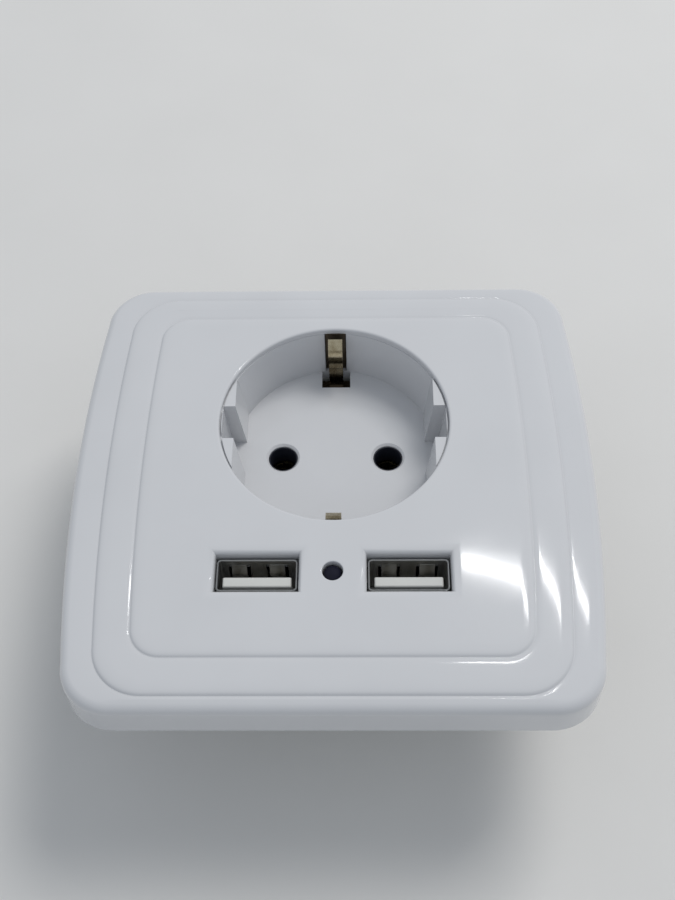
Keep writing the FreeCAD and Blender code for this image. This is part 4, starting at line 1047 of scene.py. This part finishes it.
    def make_guide_slot(self) -> Piece:
        """The slot that runs across the well through both side guides.

        Returns:
            The solid to take away.
        """
        bm = bmesh.new()
        verts = block(bm, (-self.slot_reach, WELL_Y - self.slot_half, self.floor),
                      (self.slot_reach, WELL_Y + self.slot_half, self.shelf + self.shelf_lap))
        foot = [vert for vert in verts if vert.co.z < 0]
        bmesh.ops.scale(bm, vec=(self.slot_foot_reach / self.slot_reach, 1.0, 1.0), verts=foot)
        self.set_on_floor(foot)
        return new_object("guide_slot", bm)

    def set_on_floor(self, verts: Iterable[BMVert]) -> None:
        """Put vertices on the well floor exactly, so that solids that meet there lie in one plane."""
        for vert in verts:
            vert.co.z = self.floor * MM

    def make_seam(self) -> Piece:
        """The fine gap between the side guides and the rim.

        Returns:
            The solid to take away.
        """
        inner, outer = (self.mouth_radius + out for out in self.seam_reach)
        low, high = (self.shelf + rise for rise in self.seam_height)
        ring = [(inner, low), (outer, low), (outer, high), (inner, high), (inner, low)]
        return self.turned("guide_seam", ring, self.round_steps)

    def make_earth_slots(self) -> list[Piece]:
        """The slots in wall and floor that the earth clips stand in.

        Returns:
            The solids to take away.
        """
        made = []
        slots = (("wall", self.earth_half, self.floor + self.earth_wall_foot, self.earth_top,
                  self.cup_radius - self.earth_wall_left),
                 ("floor", self.earth_floor_half, self.cup_low - CLEAR, self.floor + self.earth_floor_top,
                  self.mouth_radius - self.earth_floor_left))
        for way in (-1, 1):
            for name, half, low, high, far in slots:
                near, end = sorted((WELL_Y + self.earth_inner * way, WELL_Y + far * way))
                bm = bmesh.new()
                block(bm, (-half, near, low), (half, end, high))
                made.append(new_object("earth_%s_slot" % name, bm))
        return made

    def make_pin_holes(self) -> list[Piece]:
        """The two countersunk pin holes.

        Returns:
            The solids to take away.
        """
        low = self.cup_low - CLEAR
        lip = [(self.pin_radius + out, self.floor + rise) for out, rise in self.pin_lip]
        profile = [(0.0, low), (self.pin_radius, low), *lip, (0.0, self.floor + self.pin_top)]
        return [self.turned(side.label + "_pin_hole", profile, self.hole_steps, PIN_X * side.value)
                for side in Side]

    def make_windows(self) -> list[Piece]:
        """The port windows, rounded over towards the face.

        Returns:
            The solids to take away.
        """
        made = []
        half = [size / 2 for size in self.window]
        for side in Side:
            x, y, _ = side.port
            bm = bmesh.new()
            before, start = self.window_dip[0]
            block(bm, (x - half[0], y - half[1], self.collar_low - CLEAR), (x + half[0], y + half[1], start))
            for out, height in self.window_dip[1:]:
                self.flare_top(bm, out - before, height)
                before = out
            made.append(new_object(side.label + "_window", bm))
        return made

    def flare_top(self, bm: BMesh, outwards: float, height: float) -> None:
        """Extrude a block's top face to a height and widen it.

        Args:
            bm: The block.
            outwards: How far each side moves out in millimetres.
            height: The new top's height in millimetres.
        """
        bm.faces.ensure_lookup_table()
        top = max(bm.faces, key=lambda face: face.calc_center_median().z)
        centre = top.calc_center_median()
        made = bmesh.ops.extrude_face_region(bm, geom=[top])
        bmesh.ops.delete(bm, geom=[top], context="FACES_ONLY")
        for vert in fresh_verts(made):
            vert.co.x += math.copysign(outwards * MM, vert.co.x - centre.x)
            vert.co.y += math.copysign(outwards * MM, vert.co.y - centre.y)
            vert.co.z = height * MM

    def make_lamp_hole(self) -> Piece:
        """The small round hole over the indicator lamp.

        Returns:
            The solid to take away.
        """
        flare = round_over(self.lamp_round, (self.lamp_radius, self.face), self.lamp_round_steps)
        low, top = self.hollow_high - CLEAR, self.face + CLEAR
        return self.turned("lamp_hole", [(0.0, low), (self.lamp_radius, low), *flare, (flare[-1][0], top),
                                         (0.0, top)], self.lamp_steps, 0.0, Side.LEFT.port.y)


@dataclass
class SnapLegs:
    """The cover's four legs with barbs that hold it on the frame."""

    inner: float = 33.65
    thick: float = 1.6
    y: float = 22.0
    half: float = 4.0
    foot: float = 1.25
    top: float = 5.2
    barb: float = 0.7
    barb_half: float = 2.0
    barb_foot: float = 1.5
    barb_top: float = 3.1
    edge: float = 0.15

    def build(self) -> None:
        """Make the legs."""
        bm = bmesh.new()
        for way in (-1, 1):
            for y in (-self.y, self.y):
                self.add_leg(bm, way, y)
        fit(new_object("cover_snap_legs", bm), "cover_plastic", self.edge)

    def add_leg(self, bm: BMesh, way: int, y: float) -> None:
        """Add one leg, and its barb with a sloping underside.

        Args:
            bm: The mesh to add to.
            way: -1 for a left leg, 1 for a right one.
            y: The leg's middle.
        """
        near, far = sorted((self.inner * way, (self.inner + self.thick) * way))
        block(bm, (near, y - self.half, self.foot), (far, y + self.half, self.top))
        near, far = sorted(((self.inner - self.barb) * way, (self.inner + self.thick / 2) * way))
        barb = block(bm, (near, y - self.barb_half, self.barb_foot), (far, y + self.barb_half, self.barb_top))
        middle = (self.barb_foot + self.barb_top) / 2
        for vert in barb:
            if vert.co.z < middle * MM and abs(vert.co.x) < self.inner * MM:
                vert.co.x = self.inner * way * MM


# Behind the well


@dataclass
class EarthStrip:
    """The spring strip: a strap behind the well, two bowed clips with a backing coloured dark as painted
    shade, and the tail.
    """

    width: float = 2.6
    sheet: float = 0.8
    low: float = -6.1
    # Distance from the well's axis and height along one clip, from the strap to the tip.
    clip: tuple[Pair, ...] = ((18.4, -6.1), (18.4, -2.2), (19.75, -0.6), (16.75, 5.1), (18.85, 6.95))
    bend: float = 1.5
    bend_steps: int = 10
    edge: float = 0.16
    strap_half: float = 4.0
    strap_reach: float = 18.8
    tail_half: float = 2.2
    tail_y: Pair = (11.85, 20.25)
    tail_low: float = -23.7
    backing_half: float = 1.9
    backing_sheet: float = 0.3
    backing_reach: float = 20.1
    backing_low: float = -3.4
    backing_high: float = 7.0
    backing_edge: float = 0.1

    def build(self) -> None:
        """Make the strip and its backing."""
        strip = self.make_clips()
        half = self.sheet / 2
        near, far = self.tail_y
        with reopened(strip) as bm:
            block(bm, (-self.strap_half, WELL_Y - self.strap_reach, self.low - half),
                  (self.strap_half, WELL_Y + self.strap_reach, self.low + half))
            block(bm, (-self.tail_half, near, self.tail_low), (self.tail_half, near + self.sheet, self.low))
            block(bm, (-self.tail_half, near, self.tail_low),
                  (self.tail_half, far, self.tail_low + self.sheet))
        fit(strip, "brass_strip", self.edge, stands_for=["earth_bridge"], finish=EARTH_BRASS)
        # The backing's dark finish is painted shade.
        fit(self.make_backing(), "brass_strip", self.backing_edge, finish=BACKING_PAINTED_SHADE)

    def make_backing(self) -> Piece:
        """The thin sheets that stand behind the clips in their wall slots, coloured dark as painted shade.

        Returns:
            Both sheets as one object.
        """
        bm = bmesh.new()
        for way in (-1, 1):
            near, far = sorted(WELL_Y + way * reach
                               for reach in (self.backing_reach, self.backing_reach + self.backing_sheet))
            block(bm, (-self.backing_half, near, self.backing_low),
                  (self.backing_half, far, self.backing_high))
        return new_object("earth_clip_backing", bm)

    def make_clips(self) -> Piece:
        """Both clips and the run between them, bent from one sheet.

        Returns:
            The bent sheet.
        """
        bm = bmesh.new()
        left = -self.width / 2
        path = [(left, WELL_Y - reach, height) for reach, height in reversed(self.clip)]
        path += [(left, WELL_Y + reach, height) for reach, height in self.clip]
        verts, _ = chain(bm, path)
        round_off(bm, verts[1:-1], self.bend, self.bend_steps, "VERTICES")
        moved = fresh_verts(bmesh.ops.extrude_edge_only(bm, edges=bm.edges[:]))
        bmesh.ops.translate(bm, vec=(self.width * MM, 0.0, 0.0), verts=moved)
        strip = new_object("earth_spring_strip", bm)
        thicken(strip, self.sheet, 0.0)
        return strip


@dataclass
class ContactCarrier:
    """The dark insulating carrier, with a short bush that stands up into each pin hole."""

    bore: float = 2.42
    outer: float = 2.6
    top: float = -4.15
    foot: float = -8.3
    lip: Pair = (0.08, 0.1)
    steps: int = 48

    def build(self) -> None:
        """Make the bushes; the carrier itself keeps its solid's shape."""
        bm = bmesh.new()
        for side in Side:
            lathe(bm, [(self.bore, self.foot), (self.outer, self.foot), (self.outer, self.top - self.lip[1]),
                       (self.outer - self.lip[0], self.top), (self.bore, self.top), (self.bore, self.foot)],
                  PIN_X * side.value, WELL_Y, self.steps)
        fit(new_object("carrier_pin_bushes", bm), "carrier_plastic")


# The ports and the lamp


@dataclass
class ChargingPort:
    """One charging port: folded shell with leaf springs, tongue and four contacts."""

    side: Side
    front: float = 7.0
    rear: float = -6.9
    shell: Pair = (13.1, 5.72)
    sheet: float = 0.3
    fold: float = 0.7
    fold_steps: int = 6
    shell_edge: float = 0.11
    spring_top: float = 5.57
    spring_low: float = 0.37
    spring_width: float = 2.6
    spring_spread: float = 3.1
    spring_gap: float = 0.45
    spring_lap: float = 0.1
    spring_sag: float = 0.75
    # How much faster than the leaf runs back its bow runs, so that it ends before the leaf does.
    spring_bow: float = 1.15
    spring_steps: int = 9
    tongue_gap: float = 0.05
    tongue_width: float = 11.1
    tongue_low: float = 0.96
    tongue_thick: float = 1.84
    tongue_front: float = 6.5
    tongue_root: float = -2.2
    tongue_round: float = 0.3
    tongue_round_steps: int = 3
    tongue_edge: float = 0.18
    contact_x: tuple[float, ...] = (-3.5, -1.0, 1.0, 3.5)
    contact_half: float = 0.5
    contact_rear: float = -1.7
    contact_front: float = 5.7
    contact_thick: float = 0.3
    contact_slope: float = 0.5
    contact_edge: float = 0.08

    @property
    def middle(self) -> float:
        """The port's own X."""
        return self.side.port.x

    @property
    def floor(self) -> float:
        """Y of the shell's lower outer face."""
        return self.side.port.y - self.shell[1] / 2

    @property
    def ceiling(self) -> float:
        """Y of the shell's upper outer face."""
        return self.side.port.y + self.shell[1] / 2

    def build(self) -> None:
        """Make the port's pieces."""
        for made, slot, edge, node in (
                (self.make_shell(), "shell_steel", self.shell_edge, "_usb_shell"),
                (self.make_tongue(), "tongue_plastic", self.tongue_edge, "_usb_tongue"),
                (self.make_contacts(), "gilt_contact", self.contact_edge, "_usb_contacts")):
            fit(made, slot, edge, stands_for=[self.side.label + node])

    def make_shell(self) -> Piece:
        """The shell: a tube with rounded corners, spring windows and two bent leaves.

        Returns:
            The shell as one object.
        """
        half = self.shell[0] / 2
        bm = bmesh.new()
        block(bm, (self.middle - half, self.floor, self.rear), (self.middle + half, self.ceiling, self.front))
        round_off(bm, self.upright(bm.edges), self.fold, self.fold_steps)
        faces = sorted(bm.faces, key=lambda face: face.calc_center_median().z)
        bmesh.ops.delete(bm, geom=[faces[0], faces[-1]], context="FACES_ONLY")
        tube = new_object(self.side.label + "_port_shell", bm)
        thicken(tube, self.sheet, -1.0)
        springs = [self.middle + self.spring_spread * way for way in (-1, 1)]
        carve(tube, [self.make_spring_window(middle) for middle in springs], Carve.TAKE)
        with reopened(tube) as bm:
            for middle in springs:
                self.add_leaf(bm, middle)
        return tube

    def upright(self, edges: Iterable[bmesh.types.BMEdge]) -> list[bmesh.types.BMEdge]:
        """Those edges that run along the port."""
        return [edge for edge in edges if abs(edge.verts[0].co.z - edge.verts[1].co.z) > MM]

    def make_spring_window(self, middle: float) -> Piece:
        """The opening that a leaf spring is cut from.

        Args:
            middle: The leaf's X.

        Returns:
            The solid to take away.
        """
        reach = self.spring_width / 2 + self.spring_gap
        bm = bmesh.new()
        block(bm, (middle - reach, self.ceiling - 2 * self.sheet, self.spring_low - self.spring_gap),
              (middle + reach, self.ceiling + self.sheet, self.spring_top))
        return new_object("spring_window", bm)

    def add_leaf(self, bm: BMesh, middle: float) -> None:
        """Add a leaf that bows into the port, fixed at its front end.

        Args:
            bm: The shell's mesh.
            middle: The leaf's X.
        """
        half, front = self.spring_width / 2, self.spring_top + self.spring_lap
        leaf = bmesh.new()
        block(leaf, (middle - half, self.ceiling - self.sheet, self.spring_low),
              (middle + half, self.ceiling, front))
        bmesh.ops.subdivide_edges(leaf, edges=self.upright(leaf.edges), cuts=self.spring_steps,
                                  use_grid_fill=True)
        for vert in leaf.verts:
            along = (front - vert.co.z / MM) / (front - self.spring_low)
            vert.co.y -= self.spring_sag * MM * math.sin(math.pi * min(1.0, along * self.spring_bow)) ** 2
        mesh = bpy.data.meshes.new("spring_leaf")
        leaf.to_mesh(mesh)
        leaf.free()
        bm.from_mesh(mesh)
        bpy.data.meshes.remove(mesh)

    def make_tongue(self) -> Piece:
        """The insulator: rear block, and a blade with its front edges thinned.

        Returns:
            The tongue.
        """
        bm = bmesh.new()
        inset = self.sheet + self.tongue_gap
        half = self.shell[0] / 2 - inset
        block(bm, (self.middle - half, self.floor + inset, self.rear),
              (self.middle + half, self.ceiling - inset, self.tongue_root))
        tongue = new_object(self.side.label + "_port_tongue", bm)
        bm = bmesh.new()
        low, half = self.floor + self.tongue_low, self.tongue_width / 2
        block(bm, (self.middle - half, low, self.tongue_root - CLEAR),
              (self.middle + half, low + self.tongue_thick, self.tongue_front))
        front = [edge for edge in bm.edges if all(vert.co.z > 0 for vert in edge.verts)]
        round_off(bm, front, self.tongue_round, self.tongue_round_steps)
        carve(tongue, [new_object("tongue_blade", bm)], Carve.ADD)
        return tongue

    def make_contacts(self) -> Piece:
        """Four gilt strips with sloping front ends.

        Returns:
            The strips as one object.
        """
        bm = bmesh.new()
        low = self.floor + self.tongue_low + self.tongue_thick
        for x in self.contact_x:
            middle = self.middle + x
            verts = block(bm, (middle - self.contact_half, low, self.contact_rear),
                          (middle + self.contact_half, low + self.contact_thick, self.contact_front))
            for vert in verts:
                if vert.co.z > 0 and vert.co.y > (low + self.contact_thick / 2) * MM:
                    vert.co.z -= self.contact_slope * MM
        return new_object(self.side.label + "_port_contacts", bm)


@dataclass
class IndicatorLamp:
    """The lamp behind the small hole, level with the ports: domed resin body with a flange and two leads."""

    radius: float = 1.5
    dome: float = 7.3
    dome_rise: float = 0.75
    dome_steps: int = 12
    steps: int = 48
    low: float = 0.0
    flange: Pair = (1.85, 0.7)
    flange_edge: float = 0.1
    lead_x: float = 1.27
    lead_half: float = 0.25
    lead_low: float = -8.0
    lead_lap: float = 0.2

    def build(self) -> None:
        """Make the lamp."""
        y = Side.LEFT.port.y
        reach, top = self.flange
        angles = [math.pi / 2 * step / self.dome_steps for step in range(self.dome_steps)]
        arc = [(self.radius * math.cos(angle), self.dome + self.dome_rise * math.sin(angle))
               for angle in angles]
        edge = self.flange_edge
        bm = bmesh.new()
        lathe(bm, [(0.0, self.low), (reach - edge, self.low), (reach, self.low + edge), (reach, top - edge),
                   (reach - edge, top), (self.radius, top), *arc, (0.0, self.dome + self.dome_rise)],
              0.0, y, self.steps)
        for side in Side:
            x = self.lead_x * side.value
            block(bm, (x - self.lead_half, y - self.lead_half, self.lead_low),
                  (x + self.lead_half, y + self.lead_half, self.low + self.lead_lap))
        fit(new_object("indicator_lamp", bm), "lamp_resin", stands_for=["status_led"])


# The claw screws


@dataclass
class ClawScrew:
    """A slotted claw screw with a rolled thread."""

    side: Side
    reach: float = 27.9
    y: float = -10.5
    under_head: float = 1.6
    head_radius: float = 2.4
    head_height: float = 1.5
    head_break: float = 0.12
    # Distance inwards from the head's rim, and down from its top, round its upper edge.
    head_round: tuple[Pair, ...] = ((0.0, 0.5), (0.12, 0.24), (0.45, 0.06), (0.9, 0.0))
    head_steps: int = 48
    slot_width: float = 0.8
    slot_depth: float = 0.6
    root_radius: float = 1.2
    core_inset: float = 0.02
    crest_radius: float = 1.42
    # Where the crest starts and ends, as shares of the pitch.
    crest: Pair = (0.42, 0.58)
    pitch: float = 0.5
    tip: float = -12.4
    tip_chamfer: float = 0.5
    thread_end: float = 0.3
    thread_steps: int = 24

    @property
    def x(self) -> float:
        """The screw's own X."""
        return self.reach * self.side.value

    def build(self) -> None:
        """Make the screw."""
        screw = self.make_head()
        with reopened(screw) as bm:
            self.add_thread(bm)
        node = self.side.label + "_claw_screw"
        fit(screw, "screw_steel", body=node, stands_for=[node])

    def make_head(self) -> Piece:
        """The slotted head on a plain core.

        Returns:
            The head and core as one closed solid.
        """
        top = self.under_head + self.head_height
        core = self.root_radius - self.core_inset
        edge = [(self.head_radius - inwards, top - down) for inwards, down in self.head_round]
        bm = bmesh.new()
        lathe(bm, [(0.0, self.tip), (core - self.tip_chamfer, self.tip), (core, self.tip + self.tip_chamfer),
                   (core, self.under_head), (self.head_radius - self.head_break, self.under_head),
                   (self.head_radius, self.under_head + self.head_break), *edge, (0.0, top)],
              self.x, self.y, self.head_steps)
        screw = new_object(self.side.label + "_threaded_screw", bm)
        bm = bmesh.new()
        half, far = self.slot_width / 2, self.head_radius + CLEAR
        block(bm, (self.x - far, self.y - half, top - self.slot_depth),
              (self.x + far, self.y + half, top + CLEAR))
        carve(screw, [new_object("driver_slot", bm)], Carve.TAKE)
        return screw

    def add_thread(self, bm: BMesh) -> None:
        """Wind the thread round the core.

        Args:
            bm: The screw's mesh.
        """
        start = self.tip + self.thread_end
        turns = int((self.under_head - self.thread_end - start) / self.pitch) - 1
        crest = [(self.crest_radius, share * self.pitch) for share in self.crest]
        profile = [(self.root_radius, 0.0), *crest, (self.root_radius, self.pitch)]
        verts, edges = chain(bm, [(self.x + radius, self.y, start + rise) for radius, rise in profile])
        bmesh.ops.spin(bm, geom=verts + edges, cent=(self.x * MM, self.y * MM, 0.0), axis=(0.0, 0.0, 1.0),
                       dvec=(0.0, 0.0, self.pitch * MM / self.thread_steps), angle=math.tau * turns,
                       steps=self.thread_steps * turns, use_merge=False, use_duplicate=False)
        bmesh.ops.remove_doubles(bm, verts=bm.verts, dist=MERGE)
        bmesh.ops.recalc_face_normals(bm, faces=bm.faces)


# What keeps the solids' own shape


@dataclass
class DressedSolids:
    """Nodes whose shape is right: each gets fine edges and its finish."""

    edges: dict[str, float] = field(default_factory=lambda: {
        "support_frame": 0.12, "base_housing": 0.25, "contact_carrier": 0.15, "left_claw": 0.12,
        "right_claw": 0.12})
    plain_edge: float = 0.08
    flat_within: float = math.radians(0.5)

    def build(self) -> None:
        """Paint every node, and dress each one that no piece stands for."""
        done = {node for piece in bpy.data.objects for node in piece.get("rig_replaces", [])}
        record = frame["record"]
        riders = {node: body for body, nodes in record["behaviour"]["bodies"].items() for node in nodes}
        for part in record["subparts"]:
            node, slot = part["node"], part["material_slot"]
            self.paint(frame["nodes"][node], slot)
            if node not in done:
                fit(self.copy(node), slot, self.edges.get(node, self.plain_edge), riders[node], [node])

    def paint(self, node: Piece, slot: str) -> None:
        """Give a solid its finish.

        Args:
            node: The solid.
            slot: The record's material slot.
        """
        material = FINISHES[slot].material()
        if not node.material_slots:
            node.data.materials.append(material)
        for holder in node.material_slots:
            holder.material = material

    def copy(self, node: str) -> Piece:
        """A welded copy of a solid, its flat faces whole.

        Args:
            node: The node's name.

        Returns:
            The copy.
        """
        bm = bmesh.new()
        bm.from_mesh(frame["nodes"][node].data)
        bmesh.ops.remove_doubles(bm, verts=bm.verts, dist=WELD)
        bmesh.ops.dissolve_limit(bm, angle_limit=self.flat_within, use_dissolve_boundaries=False,
                                 verts=bm.verts, edges=bm.edges)
        return new_object(node + "_piece", bm, outward=False)


# The studio


@dataclass(frozen=True)
class AreaLight:
    """A rectangular light: where it hangs, what it faces, its width and height, and its power in watts."""

    name: str
    place: Place
    target: Place
    size: Pair
    watts: float
    colour: Colour = (1.0, 1.0, 1.0)
    roll: float = 0.0
    mirrored: bool = True

    def hang(self) -> None:
        """Make the light; where it isn't mirrored, gloss doesn't show it."""
        data = bpy.data.lights.new(self.name, "AREA")
        data.shape = "RECTANGLE"
        data.size, data.size_y = self.size[0] * MM, self.size[1] * MM
        data.energy = self.watts
        data.color = self.colour
        light = bpy.data.objects.new(self.name, data)
        light.location = Vector(self.place) * MM
        light.visible_glossy = self.mirrored
        facing = (Vector(self.target) - Vector(self.place)).to_track_quat("-Z", "Y").to_matrix()
        light.rotation_euler = (facing @ Matrix.Rotation(self.roll, 3, "Z")).to_euler()
        bpy.context.scene.collection.objects.link(light)


@dataclass
class Studio:
    """Pale floor, even pale surroundings, two lights and the camera."""

    floor_half: float = 1600.0
    floor_colour: Colour = (0.74, 0.73, 0.71)
    floor_roughness: float = 0.8
    floor_clouds: float = 30.0
    floor_tones: tuple[Colour, Colour] = ((0.72, 0.71, 0.69), (0.76, 0.75, 0.73))
    sky: Colour = (0.86, 0.92, 1.0)
    sky_strength: float = 0.52
    # A wide soft light, and the small bright window that the gloss mirrors.
    lights: tuple[AreaLight, ...] = (
        AreaLight("soft_light", place=(330.0, 360.0, 800.0), target=(0.0, 0.0, 8.0), size=(380.0, 380.0),
                  watts=4.0, colour=(1.0, 0.98, 0.95), mirrored=False),
        AreaLight("window_light", place=(141.9, 287.7, 617.0), target=(141.9, 287.7, 0.0),
                  size=(138.0, 12.4), watts=0.13, roll=math.radians(-17.5)))
    camera_place: Place = (4.69, -106.62, 176.66)
    camera_ahead: Place = (-0.0201, 0.5505, -0.8346)
    camera_up: Place = (0.0049, 0.8348, 0.5505)
    lens: float = 47.41
    sensor: float = 36.0
    nearest: float = 5.0

    def build(self) -> None:
        """Make the studio."""
        self.make_floor()
        self.make_world()
        for light in self.lights:
            light.hang()
        self.make_camera()
        bpy.context.scene.view_settings.view_transform = "Standard"

    def make_floor(self) -> None:
        """The pale floor under the socket's lowest point."""
        bm = bmesh.new()
        bmesh.ops.create_grid(bm, x_segments=2, y_segments=2, size=self.floor_half * MM,
                              matrix=Matrix.Translation((0.0, 0.0, CAD_BOX[0][2])))
        floor = new_object("studio_floor", bm, outward=False)
        graph = Graph("studio_floor", self.floor_colour, self.floor_roughness, 0.0)
        graph.paint(graph.noise(self.floor_clouds, detail=5.0), *self.floor_tones)
        floor.data.materials.append(graph.material)

    def make_world(self) -> None:
        """Even pale surroundings."""
        world = bpy.data.worlds.new("studio_world")
        bpy.context.scene.world = world
        world.use_nodes = True
        background = world.node_tree.nodes["Background"]
        background.inputs["Color"].default_value = (*self.sky, 1.0)
        background.inputs["Strength"].default_value = self.sky_strength

    def make_camera(self) -> None:
        """The camera at the photograph's viewing angle."""
        data = bpy.data.cameras.new("view")
        data.lens = self.lens
        data.sensor_width = self.sensor
        data.sensor_fit = "AUTO"
        data.clip_start = self.nearest * MM
        camera = bpy.data.objects.new("view", data)
        ahead = Vector(self.camera_ahead).normalized()
        right = ahead.cross(Vector(self.camera_up)).normalized()
        turn = Matrix((right, right.cross(ahead), -ahead)).transposed()
        camera.matrix_world = Matrix.Translation(Vector(self.camera_place) * MM) @ turn.to_4x4()
        bpy.context.scene.collection.objects.link(camera)
        bpy.context.scene.camera = camera


def main() -> None:
    """Build the studio and the socket's pieces, in order."""
    logging.basicConfig(level=logging.INFO, format="%(message)s")
    Studio().build()
    FrontCover().build()
    SnapLegs().build()
    EarthStrip().build()
    ContactCarrier().build()
    for side in Side:
        ChargingPort(side).build()
        ClawScrew(side).build()
    IndicatorLamp().build()
    DressedSolids().build()


if __name__ == "__main__":
    main()
